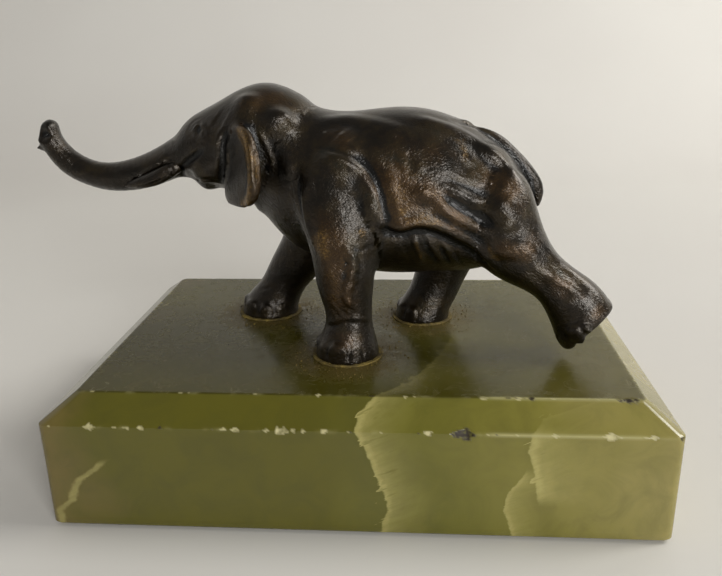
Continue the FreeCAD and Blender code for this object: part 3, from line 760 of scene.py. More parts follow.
def buildTusk(node, side):
    line = [(x, midline + side * y, z) for x, y, z in tusk["line"]]
    piece = addRoll(line, tusk["radii"], sides=16)
    piece.name = node + "_casting"
    remesh(piece, tusk["voxel"])
    clay = readClay(piece)
    relax(clay, 4, 0.5)
    skinOf(clay)
    view = "near" if side < 0 else "far"
    crease(clay, view, 0.5, 0.16, [(-48.2, 42.6), (-51.6, 41.2), (-55.0, 40.3)])
    crease(clay, view, 0.6, 0.22, [(-46.4, 42.6), (-46.0, 44.4), (-46.8, 46.2)])
    clay["browned"] = np.full(len(clay["places"]), 0.12)
    clay["gilded"] = np.clip((clay["normals"][:, 2] - 0.5) * 0.4, 0, 0.2)
    markRidges(clay)
    markChasing(clay)
    saveLayers(clay, bronzeLayers)
    finishClay(clay)
    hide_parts(node)
    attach(piece, "root")
    return piece


tusks = [buildTusk("near_tusk", -1), buildTusk("far_tusk", 1)]


# crusts: the crumbly bed of setting compound under each planted foot

crust = {
    "voxel": 0.22,
    "lumps": 40,    # round the rim of each foot
    "grains": 420,    # loose crumbs about each foot
    "spread": 8.0,    # mm, how far the crumbs reach
    "seed": 11,
}


def buildGrains(centre, footRadius, dice):
    # one crumb, modelled once and scattered with its own mesh each time
    deselectAll()
    bpy.ops.mesh.primitive_ico_sphere_add(subdivisions=1, radius=mm, location=(0, 0, 0))
    model = bpy.context.active_object
    grains = []
    for _ in range(crust["grains"]):
        reach = footRadius + dice.random() ** 2.2 * crust["spread"]
        turn = dice.uniform(0, 2 * math.pi)
        radius = dice.uniform(0.06, 0.15) if dice.random() < 0.9 else dice.uniform(0.15, 0.24)
        grain = model.copy()
        grain.data = model.data.copy()
        shape = Matrix.Diagonal([radius * dice.uniform(0.7, 1.4) for _ in range(3)] + [1])
        spin = Matrix.Rotation(dice.uniform(0, 6), 4, (dice.random(), dice.random(), 1))
        x = centre.x + math.cos(turn) * reach * mm
        y = centre.y + math.sin(turn) * reach * mm
        lift = (topFace + radius * 0.45) * mm
        grain.data.transform(Matrix.Translation((x, y, lift)) @ spin @ shape)
        bpy.context.scene.collection.objects.link(grain)
        grains.append(grain)
    bpy.data.objects.remove(model)
    return grains


def buildCrust(foot, dice):
    low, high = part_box(foot + "_bedding")
    centre = (low + high) / 2
    radius = (high.x - low.x + high.y - low.y) / 4 / mm
    bed = copyOfNode(foot + "_bedding", foot + "_crust")
    lumps = []
    for k in range(crust["lumps"]):
        turn = 2 * math.pi * (k + dice.random()) / crust["lumps"]
        reach = radius + dice.uniform(-2.2, -0.9)
        place = (centre.x / mm + math.cos(turn) * reach, centre.y / mm + math.sin(turn) * reach, 0)
        size = dice.uniform(0.5, 1.1)
        lumps.append(addLump(place, (size, size * dice.uniform(0.6, 1), dice.uniform(0.25, 0.35))))
    bed = joinPieces([bed] + lumps)
    remesh(bed, crust["voxel"])
    clay = readClay(bed)
    wander = np.array([noise.noise(Vector(p) * 0.9) for p in clay["places"]])
    crumble = np.array([noise.noise(Vector(p) * 2.6) for p in clay["places"]])
    rising = clay["places"][:, 2] > 0.05
    clay["places"] += clay["normals"] * ((0.16 * wander + 0.12 * crumble) * rising)[:, None]
    clay["places"][:, 2] = np.clip(clay["places"][:, 2], -0.04, 0.6)
    finishClay(clay)
    bed = joinPieces([bed] + buildGrains(centre, radius - 0.4, dice))
    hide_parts(foot + "_bedding")
    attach(bed, "root")
    return bed


plantedFeet = ("near_fore", "far_fore", "far_hind")
crustDice = random.Random(crust["seed"])
crusts = [buildCrust(foot, crustDice) for foot in plantedFeet]


# plinth: the bevelled onyx block

plinth = {
    "corner": 2.0,    # mm, worn radius of the upright corners
    "footBreak": 0.5,
    "bevelAcross": 7.0,
    "bevelDrop": 5.2,
    "counterbore": (6.5, 8.0),    # radius and depth
    "studHole": 2.4,
    "nicks": 120,    # small knocks along the edges
    "seed": 4,
}

# flakes struck off the front edges: edge, place along it, half length, depth, and 0 fresh or 1 dirty
flakes = [
    ("lower", -58.0, 1.2, 0.35, 0), ("lower", -49.2, 0.5, 0.25, 0), ("lower", -46.4, 0.7, 0.3, 0),
    ("lower", -42.0, 0.4, 0.25, 1), ("lower", -25.3, 0.9, 0.3, 0), ("lower", -18.6, 0.5, 0.3, 0),
    ("lower", -15.2, 1.3, 0.6, 0), ("lower", -12.6, 0.7, 0.4, 0), ("lower", -10.4, 0.5, 0.25, 0),
    ("lower", -6.0, 0.9, 0.25, 0), ("lower", 16.5, 0.8, 0.45, 0), ("lower", 22.6, 1.3, 0.5, 1),
    ("lower", 24.4, 1.7, 0.95, 1), ("lower", 43.0, 0.5, 0.3, 0), ("lower", 54.6, 1.2, 0.5, 0),
    ("lower", 63.4, 0.7, 0.4, 0), ("upper", 57.4, 0.8, 0.4, 1), ("upper", 58.9, 1.0, 0.6, 1),
    ("upper", 60.4, 0.9, 0.4, 1), ("upper", 38.6, 0.6, 0.3, 1), ("upper", 35.8, 0.5, 0.25, 0),
    ("upper", 28.2, 0.8, 0.3, 0), ("upper", -8.0, 0.6, 0.25, 0), ("upper", 4.0, 0.5, 0.2, 1),
]
brokenCorners = [((70.6, -48.6, -5.0), 4.2, 1), ((-70.4, -48.4, -4.6), 2.8, 1),
                 ((-70.6, 48.6, -5.2), 2.2, 1)]


stoneLayers = ("chipped", "soiled", "arris")


def selectRim(block, test):
    choose(block)
    bpy.ops.object.mode_set(mode="EDIT")
    bpy.ops.mesh.select_mode(type="EDGE")
    bpy.ops.mesh.select_all(action="DESELECT")
    bpy.ops.object.mode_set(mode="OBJECT")
    for edge in block.data.edges:
        edge.select = test(*[block.data.vertices[v].co for v in edge.vertices])
    bpy.ops.object.mode_set(mode="EDIT")


def raiseBlock():
    # one outline with worn corners, drawn up in rings that are finer near the edges
    low, high = plinthLow, plinthHigh
    halfLength, halfWidth = high.x / mm, high.y / mm
    foot, across, drop = plinth["footBreak"], plinth["bevelAcross"], plinth["bevelDrop"]
    deselectAll()
    bpy.ops.mesh.primitive_plane_add(size=1, location=(0, 0, low.z))
    block = bpy.context.active_object
    block.name = "bevelled_onyx_block"
    block.scale = (high.x - low.x, high.y - low.y, 1)
    applyPlace(block)
    bpy.ops.object.mode_set(mode="EDIT")
    bpy.ops.mesh.select_all(action="SELECT")
    bpy.ops.mesh.bevel(offset=plinth["corner"] * mm, segments=8, affect="VERTICES")
    bpy.ops.mesh.delete(type="ONLY_FACE")
    for _ in range(2):
        selectRim(block, lambda a, b: abs(a.y - b.y) < 1e-6 and abs(abs(a.y) - high.y) < 1e-6)
        bpy.ops.mesh.subdivide(number_cuts=16)
        selectRim(block, lambda a, b: abs(a.x - b.x) < 1e-6 and abs(abs(a.x) - high.x) < 1e-6)
        bpy.ops.mesh.subdivide(number_cuts=13)

    base, edge, top = low.z / mm, topFace - drop, topFace
    rings = [(base, foot), (base + foot / 2, foot / 2), (base + foot, 0)]
    rings += [(edge - d, 0) for d in (23.6, 22, 19.6, 17, 14.2, 11.4, 9, 6.8, 5, 3.6, 2.5, 1.7, 1.1, 0.7,
                                      0.35, 0)]
    rings += [(edge + drop * t, across * t) for t in (0.04, 0.08, 0.14, 0.21, 0.3, 0.42, 0.55, 0.67, 0.77,
                                                      0.85, 0.91, 0.96, 1)]
    rings += [(top, across + d) for d in (0.35, 0.7, 1.1, 1.7, 2.6, 4, 6, 9, 13, 18, 24)]
    bpy.ops.mesh.select_all(action="SELECT")
    pivot = (0, 0, 0)
    shrink = (1 - foot / halfLength, 1 - foot / halfWidth, 1)
    bpy.ops.transform.resize(value=shrink, center_override=pivot)
    for (height, inset), (nextHeight, nextInset) in zip(rings, rings[1:]):
        rise = (nextHeight - height) * mm
        bpy.ops.mesh.extrude_region_move(TRANSFORM_OT_translate={"value": (0, 0, rise)})
        shrink = ((halfLength - nextInset) / (halfLength - inset),
                  (halfWidth - nextInset) / (halfWidth - inset), 1)
        bpy.ops.transform.resize(value=shrink, center_override=pivot)
    bpy.ops.mesh.edge_face_add()
    bpy.ops.mesh.select_all(action="DESELECT")
    bpy.ops.mesh.select_non_manifold()
    bpy.ops.mesh.edge_face_add()
    bpy.ops.mesh.select_all(action="SELECT")
    bpy.ops.mesh.normals_make_consistent(inside=False)
    bpy.ops.object.mode_set(mode="OBJECT")
    return block


def blockEdges():
    # the long edges: name, corner to start from, direction along, length, and the way a flake comes off
    x, y = plinthHigh.x / mm, plinthHigh.y / mm
    across, drop = plinth["bevelAcross"], plinth["bevelDrop"]
    slope = Vector((0, -drop, across)).normalized()
    edges = []
    for level, inset, height, out in (("lower", 0, -drop, Vector((0, -1, 0)) + slope),
                                      ("upper", across, 0, Vector((0, 0, 1)) + slope)):
        for turn in range(4):
            halfRun, reach = (x, y) if turn % 2 == 0 else (y, x)
            spin = Matrix.Rotation(math.radians(90 * turn), 3, "Z")
            middle = spin @ Vector((0, -(reach - inset), height))
            edges.append((level if turn == 0 else "", middle, spin @ Vector((1, 0, 0)),
                          halfRun - inset - 1.5, (spin @ out).normalized()))
    return edges


def strikeFlake(clay, place, out, halfLength, depth, dirty):
    # a shell-shaped flake: the stone is cut back to a shallow scoop with a ragged rim
    radius = (halfLength ** 2 + depth ** 2) / (2 * depth)
    centre = np.array(place) + np.array(out) * (radius - depth)
    near = np.flatnonzero(np.linalg.norm(clay["places"] - np.array(place), axis=1) < halfLength * 1.6)
    offset = clay["places"][near] - centre
    gap = np.linalg.norm(offset, axis=1)
    ragged = np.array([noise.noise(Vector(p) * 1.7 / max(halfLength, 0.5)) for p in clay["places"][near]])
    scoop = radius + ragged * depth * 0.8
    inside = gap < scoop
    who = near[inside]
    clay["places"][who] = centre + offset[inside] / gap[inside][:, None] * scoop[inside][:, None]
    clay["soiled" if dirty else "chipped"][who] = 1


def wearBlock(block):
    clay = readClay(block)
    for layer in stoneLayers:
        clay[layer] = np.zeros(len(clay["places"]))
    edges = blockEdges()
    for _, middle, along, halfRun, _ in edges:
        offset = clay["places"] - np.array(middle)
        run = offset @ np.array(along)
        gap = np.linalg.norm(offset - run[:, None] * np.array(along), axis=1)
        clay["arris"] = np.maximum(clay["arris"], np.exp(-(gap / 0.4) ** 2) * (abs(run) < halfRun + 1.5))
    dice = random.Random(plinth["seed"])
    for _ in range(plinth["nicks"]):
        _, middle, along, halfRun, out = dice.choice(edges)
        place = middle + along * dice.uniform(-halfRun, halfRun)
        halfLength = dice.uniform(0.2, 0.45) if dice.random() < 0.85 else dice.uniform(0.45, 0.9)
        strikeFlake(clay, place, out, halfLength, halfLength * dice.uniform(0.2, 0.4), dice.random() < 0.3)
    for level, along, halfLength, depth, dirty in flakes:
        for name, middle, direction, _, out in edges:
            if name == level:
                strikeFlake(clay, middle + direction * along, out, halfLength, depth, dirty)
    for place, size, dirty in brokenCorners:
        out = Vector((math.copysign(1, place[0]), math.copysign(1, place[1]), 0.7)).normalized()
        strikeFlake(clay, Vector(place) - out * 0.4, out, size, size * 0.3, dirty)
    relax(clay, 1, 0.35)
    saveLayers(clay, stoneLayers)
    writeClay(clay)


def drillBlock(block):
    # the counterbore and stud hole under each planted foot, as one stepped drill a foot
    radius, depth = plinth["counterbore"]
    drills = []
    for foot in plantedFeet:
        low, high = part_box(foot + "_stud")
        middle = (low + high) / 2
        tall = (depth + 2) * mm
        deselectAll()
        bpy.ops.mesh.primitive_cylinder_add(
            vertices=48, radius=radius * mm, depth=tall,
            location=(middle.x, middle.y, plinthLow.z + depth * mm - tall / 2))
        drill = bpy.context.active_object
        applyPlace(drill)
        shoulder = plinthLow.z + depth * mm
        bpy.ops.object.mode_set(mode="EDIT")
        bpy.ops.mesh.select_mode(type="FACE")
        bpy.ops.mesh.select_all(action="DESELECT")
        bpy.ops.object.mode_set(mode="OBJECT")
        for face in drill.data.polygons:
            face.select = face.normal.z > 0.9 and abs(face.center.z - shoulder) < 1e-5
        bpy.ops.object.mode_set(mode="EDIT")
        bpy.ops.mesh.inset(thickness=(radius - plinth["studHole"]) * mm)
        bpy.ops.mesh.extrude_region_move(TRANSFORM_OT_translate={"value": (0, 0, 30 * mm)})
        bpy.ops.object.mode_set(mode="OBJECT")
        drills.append(drill)
    drill = joinPieces(drills)
    applyModifier(block, "BOOLEAN", operation="DIFFERENCE", solver="EXACT", object=drill)
    bpy.data.objects.remove(drill)


def buildPlinth():
    block = raiseBlock()
    wearBlock(block)
    drillBlock(block)
    choose(block)
    bpy.ops.object.shade_smooth_by_angle(angle=math.radians(32))
    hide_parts("onyx_plinth")
    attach(block, "root")
    print("plinth:", len(block.data.polygons), "faces")
    return block


onyxBlock = buildPlinth()


# baize: the cloth glued under the block

baize = {"thickness": 0.5, "corner": 3.0, "fray": 0.25}


def buildBaize():
    low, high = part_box("baize_pad")
    deselectAll()
    bpy.ops.mesh.primitive_plane_add(size=1, location=(0, 0, (low.z + high.z) / 2))
    cloth = bpy.context.active_object
    cloth.name = "green_baize"
    cloth.scale = (high.x - low.x - 2 * baize["fray"] * mm, high.y - low.y - 2 * baize["fray"] * mm, 1)
    applyPlace(cloth)
    bpy.ops.object.mode_set(mode="EDIT")
    bpy.ops.mesh.select_all(action="SELECT")
    bpy.ops.mesh.subdivide(number_cuts=9)
    bpy.ops.mesh.subdivide(number_cuts=9)
    bpy.ops.object.mode_set(mode="OBJECT")
    for vertex in cloth.data.vertices:
        x, y, z = vertex.co
        edge = min(high.x - abs(x), high.y - abs(y)) / mm
        corner = Vector((max(abs(x) - high.x + baize["corner"] * mm, 0), max(abs(y) - high.y
                                                                           + baize["corner"] * mm, 0)))
        if corner.length > baize["corner"] * mm:
            pull = 1 - baize["corner"] * mm / corner.length
            vertex.co.x -= math.copysign(corner.x * pull, x)
            vertex.co.y -= math.copysign(corner.y * pull, y)
        if edge < 1:
            fray = baize["fray"] * mm * noise.noise(Vector((x, y, 0)) / mm * 1.1)
            vertex.co.x += math.copysign(fray, x) if high.x - abs(x) < mm else 0
            vertex.co.y += math.copysign(fray, y) if high.y - abs(y) < mm else 0
    applyModifier(cloth, "SOLIDIFY", thickness=baize["thickness"] * mm, offset=0)
    choose(cloth)
    bpy.ops.object.shade_smooth_by_angle(angle=math.radians(40))
    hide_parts("baize_pad")
    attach(cloth, "root")
    return cloth


greenBaize = buildBaize()
print("baize laid")


# materials

def newMaterial(name):
    material = bpy.data.materials.new(name)
    material.use_nodes = True
    tree = material.node_tree
    tree.nodes.clear()
    return material, tree


def addNode(tree, kind, options=None, values=None, links=None, stops=None):
    added = tree.nodes.new("ShaderNode" + kind)
    for name, value in (options or {}).items():
        setattr(added, name, value)
    for socket, value in (values or {}).items():
        added.inputs[socket].default_value = value
    for socket, source in (links or {}).items():
        if isinstance(source, bpy.types.Node):
            source = source.outputs[2] if source.bl_idname == "ShaderNodeMix" else source.outputs[0]
        tree.links.new(source, added.inputs[socket])
    if stops:
        while len(added.color_ramp.elements) < len(stops):
            added.color_ramp.elements.new(0.5)
        for element, (position, colour) in zip(added.color_ramp.elements, stops):
            element.position = position
            element.color = linear(colour) if isinstance(colour, str) else [colour] * 3 + [1]
    return added


def grain(tree, where, size, detail=3, roughness=0.55, distortion=0.0):
    # noise with features about this many millimetres across, on places in millimetres
    return addNode(tree, "TexNoise", values={"Scale": 1 / size, "Detail": detail, "Roughness": roughness,
                                             "Distortion": distortion}, links={"Vector": where})


def placesInMm(tree):
    where = addNode(tree, "TexCoord").outputs["Object"]
    return addNode(tree, "VectorMath", {"operation": "SCALE"}, {"Scale": 1 / mm}, {0: where})


def calc(tree, operation, first, second=None, third=None, clamp=False):
    # arithmetic on sockets, nodes and plain numbers
    values, links = {}, {}
    for socket, item in enumerate((first, second, third)):
        if item is not None:
            (values if isinstance(item, (int, float)) else links)[socket] = item
    return addNode(tree, "Math", {"operation": operation, "use_clamp": clamp}, values, links)


def between(tree, value, low, high, lowOut=0.0, highOut=1.0, smooth=True):
    return addNode(tree, "MapRange", {"interpolation_type": "SMOOTHSTEP" if smooth else "LINEAR"},
                   {1: low, 2: high, 3: lowOut, 4: highOut}, {0: value})


def blend(tree, share, under, over):
    # two colours, each a hex value or a node, mixed by a share
    values, links = {}, {0: share}
    for socket, item in ((6, under), (7, over)):
        if isinstance(item, str):
            values[socket] = linear(item)
        else:
            links[socket] = item
    return addNode(tree, "Mix", {"data_type": "RGBA"}, values, links)


def layerOf(tree, name):
    return addNode(tree, "Attribute", {"attribute_name": name}).outputs["Fac"]


def dress(piece, material):
    piece.data.materials.clear()
    piece.data.materials.append(material)


bronze = {
    "deep": "#090806",    # grime in the hollows
    "patina": [(0.3, "#171208"), (0.48, "#221a0e"), (0.6, "#2e2410"), (0.75, "#1f2018")],
    "brown": "#3c2a12",    # where the patina is worn thin
    "gilt": "#9a7a3e",    # bare metal
    "giltUnder": "#5f4519",
    "fleckSize": 0.36,    # mm
    "castSize": 0.34,    # mm, the skin of the casting
}


def patinatedBronze():
    # cast bronze under a dark chemical patina and wax: nearly black, brown where handled, gold in flecks
    material, tree = newMaterial("patinatedBronze")
    where = placesInMm(tree)
    browned, gilded, proud = (layerOf(tree, name) for name in ("browned", "gilded", "proud"))
    cloud = grain(tree, where, 7, 4, 0.6)
    patches = grain(tree, where, 2.2, 3, 0.6)
    fleck = grain(tree, where, bronze["fleckSize"], 2, 0.7)
    base = addNode(tree, "ValToRGB", links={"Fac": cloud}, stops=bronze["patina"])
    brownEdge = calc(tree, "MULTIPLY_ADD", patches, 0.7, -0.35)
    brownShare = between(tree, calc(tree, "ADD", calc(tree, "MULTIPLY", browned, 1.1), brownEdge), 0.1, 0.9)
    worn = blend(tree, brownShare, base, bronze["brown"])
    thinSpots = calc(tree, "MULTIPLY", brownShare, between(tree, fleck, 0.5, 0.75, 0, 0.6))
    flecked = blend(tree, thinSpots, worn, bronze["giltUnder"])
    giltEdge = calc(tree, "ADD", gilded, calc(tree, "MULTIPLY_ADD", patches, 0.5, -0.25))
    giltShare = between(tree, giltEdge, 0.25, 0.9)
    underGilt = blend(tree, calc(tree, "MULTIPLY", giltShare, 0.75), flecked, bronze["giltUnder"])
    gilt = blend(tree, calc(tree, "MULTIPLY", giltShare, between(tree, fleck, 0.44, 0.62)), underGilt,
                 bronze["gilt"])
    colour = blend(tree, between(tree, proud, 0.2, 0.47), bronze["deep"], gilt)
    rough = calc(tree, "ADD", between(tree, cloud, 0.3, 0.7, 0.3, 0.44),
                 calc(tree, "MULTIPLY", between(tree, proud, 0.15, 0.45, 1, 0), 0.2))
    # tool strokes: the same noise, stretched along two slants that take turns in patches
    strokes = []
    for turn in (35, -40):
        slanted = addNode(tree, "Mapping", {"vector_type": "TEXTURE"},
                          {"Rotation": (0, math.radians(turn), 0), "Scale": (2.2, 1, 0.8)}, {"Vector": where})
        strokes.append(grain(tree, slanted, bronze["castSize"], 2, 0.55))
    skin = addNode(tree, "Mix", {"data_type": "FLOAT"},
                   links={0: between(tree, grain(tree, where, 5, 1, 0.5), 0.45, 0.55),
                          2: strokes[0], 3: strokes[1]}).outputs[0]
    tooled = grain(tree, where, 1.5, 2, 0.5, 0.6)
    chased = layerOf(tree, "chased")
    broad = addNode(tree, "Bump", values={"Distance": 0.14 * mm},
                    links={"Height": tooled, "Strength": chased})
    relief = addNode(tree, "Bump", values={"Distance": 0.17 * mm},
                     links={"Height": skin, "Strength": chased, "Normal": broad})
    shader = addNode(tree, "BsdfPrincipled",
                     values={"Metallic": 0.85, "Coat Weight": 0.6, "Coat Roughness": 0.16},
                     links={"Base Color": colour, "Roughness": rough, "Normal": relief,
                            "Coat Normal": relief})
    addNode(tree, "OutputMaterial", links={0: shader})
    return material


onyx = {
    "body": [(0.0, "#645829"), (0.1, "#545010"), (0.42, "#57530f"), (0.62, "#64611d"), (0.82, "#787230"),
             (1.0, "#8f854c")],    # deep olive to honey green along the block: the stone's own tone, with painted light making it darker at the left end and lighter towards the right end
    "cream": "#b0a768",
    "dust": "#5c5630",
    "residue": "#5a4926",
    "fresh": "#b9b184",    # a newly struck flake
    "dirt": "#261b08",
    # the edge of each cream band: climb over front, bevel and top in mm, and its x
    "firstBand": [(-28, 6.4), (-25, 7.9), (-21.5, 7.3), (-16.4, 5.3), (-11.8, 3.9), (-8, 2.2), (-5.3, 0.8),
                  (1, 1.6), (7, 4.9), (12.4, 11), (20, 15.3), (30, 20), (41, 23), (68, 22), (96, 10)],
    "secondBand": [(-24, 41.6), (-20, 40.2), (-17.6, 39.8), (-12.7, 38.8), (-8.8, 37.8), (-4, 38.7),
                   (0.4, 41), (4, 48), (9, 58), (96, 66)],
    "thirdBand": [(-30, 35.2), (-27.9, 34.3), (-23.8, 33), (-19.7, 33.7), (-16.3, 36), (-13, 38), (96, 40)],
    "thread": [(-27, -67.6), (-26.1, -66.9), (-24.1, -64.3), (-20.4, -63), (-18.3, -61.5), (-16, -58),
               (-12, -54)],
}


def bandEdge(tree, climb, along, points):
    # signed distance, in mm along the block, to the right of a line that climbs the block
    first, last, halfRun = points[0][0], points[-1][0], 70
    track = addNode(tree, "ValToRGB", links={"Fac": between(tree, climb, first, last, smooth=False)},
                    stops=[((c - first) / (last - first), (x + halfRun) / (2 * halfRun))
                           for c, x in points])
    track.color_ramp.interpolation = "LINEAR"
    return calc(tree, "SUBTRACT", along, calc(tree, "MULTIPLY_ADD", track, 2 * halfRun, -halfRun))


def fadeBand(tree, distance, width):
    # a cream band: it starts at once where the distance passes zero and is gone after width mm
    fade = [(0.0, 0.0), (0.03, 0.75), (0.07, 0.8), (0.14, 0.5), (0.3, 0.3), (0.55, 0.14), (0.8, 0.04),
            (1.0, 0.0)]
    return addNode(tree, "ValToRGB", links={"Fac": between(tree, distance, -0.3, width, smooth=False)},
                   stops=fade)


def greenOnyx():
    # banded green onyx, sawn and polished: glassy olive stone whose cream bands start sharp and fade out
    material, tree = newMaterial("polishedGreenOnyx")
    where = placesInMm(tree)
    axes = addNode(tree, "SeparateXYZ", links={0: where})
    x, y, z = axes.outputs
    climb = calc(tree, "ADD", calc(tree, "SUBTRACT", z, topFace), calc(tree, "ADD", y, 48.0))

    drift = grain(tree, where, 30, 3, 0.5)
    mottle = grain(tree, where, 9, 4, 0.6, 0.8)
    fine = grain(tree, where, 1.6, 3, 0.6)
    # feathers: noise drawn out along a slant, so that the bands throw wisps down to the left
    slanted = addNode(tree, "Mapping", {"vector_type": "TEXTURE"},
                      {"Rotation": (0, math.radians(-24), 0), "Scale": (9, 3, 1.3)}, {"Vector": where})
    feather = grain(tree, slanted, 1, 3, 0.6)
    wisp = between(tree, feather, 0.56, 0.78)
    alongX = calc(tree, "ADD", x, calc(tree, "MULTIPLY_ADD", mottle, 2.4, -1.2))
    alongX = calc(tree, "ADD", alongX, calc(tree, "MULTIPLY_ADD", fine, 1.2, -0.6))
    alongX = calc(tree, "ADD", alongX, calc(tree, "MULTIPLY", wisp, 5.0))

    # painted light: the body colour darkens towards the left end and lightens towards the right end, partly
    # the stone's own tone and partly painted light from the right
    share = calc(tree, "ADD", between(tree, x, -70, 70, smooth=False),
                 calc(tree, "MULTIPLY_ADD", drift, 0.5, -0.25))
    body = addNode(tree, "ValToRGB", links={"Fac": share}, stops=onyx["body"])
    mottled = blend(tree, between(tree, mottle, 0.35, 0.75, 0, 0.3), body, "#3f3d12")

    first = bandEdge(tree, climb, alongX, onyx["firstBand"])
    high = between(tree, climb, -26, -12, 0.75, 1.0)
    away = between(tree, climb, 8, 60, 1.0, 0.35)
    bands = calc(tree, "MULTIPLY", calc(tree, "MULTIPLY", fadeBand(tree, first, 13), high), away)
    second = bandEdge(tree, climb, alongX, onyx["secondBand"])
    there = calc(tree, "MULTIPLY", between(tree, climb, -23, -19), between(tree, climb, -7, -1, 1, 0.15))
    bands = calc(tree, "MAXIMUM", bands, calc(tree, "MULTIPLY", fadeBand(tree, second, 15), there))
    third = bandEdge(tree, climb, alongX, onyx["thirdBand"])
    there = between(tree, climb, -16, -13, 0.8, 0)
    bands = calc(tree, "MAXIMUM", bands, calc(tree, "MULTIPLY", fadeBand(tree, third, 9), there))
    threadX = calc(tree, "ADD", x, calc(tree, "MULTIPLY_ADD", fine, 1.6, -0.8))
    thread = bandEdge(tree, climb, threadX, onyx["thread"])
    line = calc(tree, "MULTIPLY", between(tree, calc(tree, "ABSOLUTE", thread), 0.4, 1.4, 0.45, 0),
                between(tree, climb, -15, -13, 1, 0))
    bands = calc(tree, "MAXIMUM", bands, line)
    darkSide = calc(tree, "MULTIPLY", between(tree, first, -14, -0.5),
                    between(tree, first, -0.5, 0.2, 0.35, 0))
    shaded = blend(tree, darkSide, mottled, "#4a481a")
    threads = calc(tree, "MULTIPLY", bands, between(tree, feather, 0.3, 0.7, 0.7, 1.05))
    banded = blend(tree, threads, shaded, onyx["cream"])

    # the top: painted shade darkens the whole top face, then a thin dull film, and brown residue thrown about
    # the planted feet
    onTop = between(tree, z, topFace - 0.3, topFace - 0.05)
    # painted shade: the whole top face is darkened towards a deep olive brown
    topPaintedShade = blend(tree, calc(tree, "MULTIPLY", onTop, 0.62), banded, "#241f04")
    nearFeet = None
    for foot in plantedFeet:
        low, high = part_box(foot + "_stud")
        spot = ((low.x + high.x) / 2 / mm, (low.y + high.y) / 2 / mm, topFace)
        gap = addNode(tree, "VectorMath", {"operation": "DISTANCE"}, {1: spot}, {0: where}).outputs["Value"]
        ring = between(tree, gap, 8, 19, 1, 0)
        nearFeet = ring if nearFeet is None else calc(tree, "MAXIMUM", nearFeet, ring)
    smear = grain(tree, where, 5, 4, 0.7, 1.2)
    crumbs = grain(tree, where, 0.5, 2, 0.7)
    film = calc(tree, "MULTIPLY", onTop, between(tree, smear, 0.35, 0.75, 0.03, 0.3))
    dusty = blend(tree, film, topPaintedShade, onyx["dust"])
    soil = calc(tree, "MULTIPLY", nearFeet, between(tree, crumbs, 0.35, 0.65, 0.25, 0.95))
    soil = calc(tree, "MULTIPLY", soil, between(tree, smear, 0.25, 0.6, 0.3, 1))
    soiledTop = blend(tree, calc(tree, "MULTIPLY", soil, onTop), dusty, onyx["residue"])
    swirl = calc(tree, "ABSOLUTE", calc(tree, "SUBTRACT", grain(tree, where, 13, 1, 0.4, 1.5), 0.5))
    scratch = calc(tree, "MULTIPLY", calc(tree, "MULTIPLY", between(tree, swirl, 0.0, 0.006, 0.3, 0), onTop),
                   between(tree, smear, 0.45, 0.6))
    scratched = blend(tree, scratch, soiledTop, "#a39d7a")

    # edges and flakes; the pale edges are patchy bruises of the stone, with a painted highlight along them
    # between x 27 and 63 mm
    # painted highlight: the pale edge line is strongest between x 27 and 63 mm; elsewhere it is patchy
    # bruising of the stone
    bruisesAndEdgeHighlight = calc(tree, "MAXIMUM", between(tree, grain(tree, where, 6, 2, 0.6), 0.5, 0.7, 0.0, 0.4),
                   calc(tree, "MULTIPLY", between(tree, x, 27, 31), between(tree, x, 60, 63, 0.9, 0.2)))
    arris = calc(tree, "MULTIPLY", layerOf(tree, "arris"), bruisesAndEdgeHighlight)
    edged = blend(tree, arris, scratched, "#a8a271")
    chipped, soiled = layerOf(tree, "chipped"), layerOf(tree, "soiled")
    struck = blend(tree, calc(tree, "MULTIPLY", chipped, between(tree, fine, 0.35, 0.6, 0.35, 0.9)), edged,
                   onyx["fresh"])
    dirt = calc(tree, "MULTIPLY", soiled, between(tree, fine, 0.45, 0.65, 1, 0.3))
    colour = blend(tree, dirt, struck, onyx["dirt"])

    broken = calc(tree, "MAXIMUM", chipped, soiled)
    rough = calc(tree, "ADD", between(tree, smear, 0.3, 0.7, 0.14, 0.2),
                 calc(tree, "MULTIPLY", broken, 0.5))
    rough = calc(tree, "ADD", rough,
                 calc(tree, "MULTIPLY", onTop, between(tree, smear, 0.3, 0.7, 0.0, 0.12)))
    soiling = calc(tree, "MULTIPLY", calc(tree, "MULTIPLY", soil, onTop), 0.35)
    rough = calc(tree, "ADD", rough, soiling, clamp=True)
    bumps = calc(tree, "ADD", calc(tree, "MULTIPLY", broken, fine), calc(tree, "MULTIPLY", soil, crumbs))
    relief = addNode(tree, "Bump", values={"Strength": 0.6, "Distance": 0.2 * mm},
                     links={"Height": calc(tree, "SUBTRACT", bumps, scratch)})
    shader = addNode(tree, "BsdfPrincipled",
                     values={"IOR": 1.55, "Subsurface Weight": 0.12, "Subsurface Radius": (1.0, 0.95, 0.45),
                             "Subsurface Scale": 2.5 * mm},
                     links={"Base Color": colour, "Roughness": rough, "Normal": relief,
                            "Specular IOR Level": between(tree, z, topFace - 0.3, topFace - 0.05, 0.5, 0.22)})
    addNode(tree, "OutputMaterial", links={0: shader})
    return material


def settingCompound():
    # a gritty brown filler with specks of onyx and bronze filings: dull, no two grains alike
    material, tree = newMaterial("grittySettingCompound")
    where = placesInMm(tree)
    grit = grain(tree, where, 0.35, 3, 0.7)
    tone = grain(tree, where, 3, 3, 0.6)
    colour = addNode(tree, "ValToRGB", links={"Fac": calc(tree, "MULTIPLY_ADD", tone, 0.5,
                                                         calc(tree, "MULTIPLY", grit, 0.5))},
                     stops=[(0.36, "#33290f"), (0.5, "#5a4c1f"), (0.6, "#7c6a2e"), (0.72, "#ab984f")])
    relief = addNode(tree, "Bump", values={"Strength": 0.8, "Distance": 0.12 * mm}, links={"Height": grit})
    shader = addNode(tree, "BsdfPrincipled", values={"Roughness": 0.8},
                     links={"Base Color": colour, "Normal": relief})
    addNode(tree, "OutputMaterial", links={0: shader})
    return material


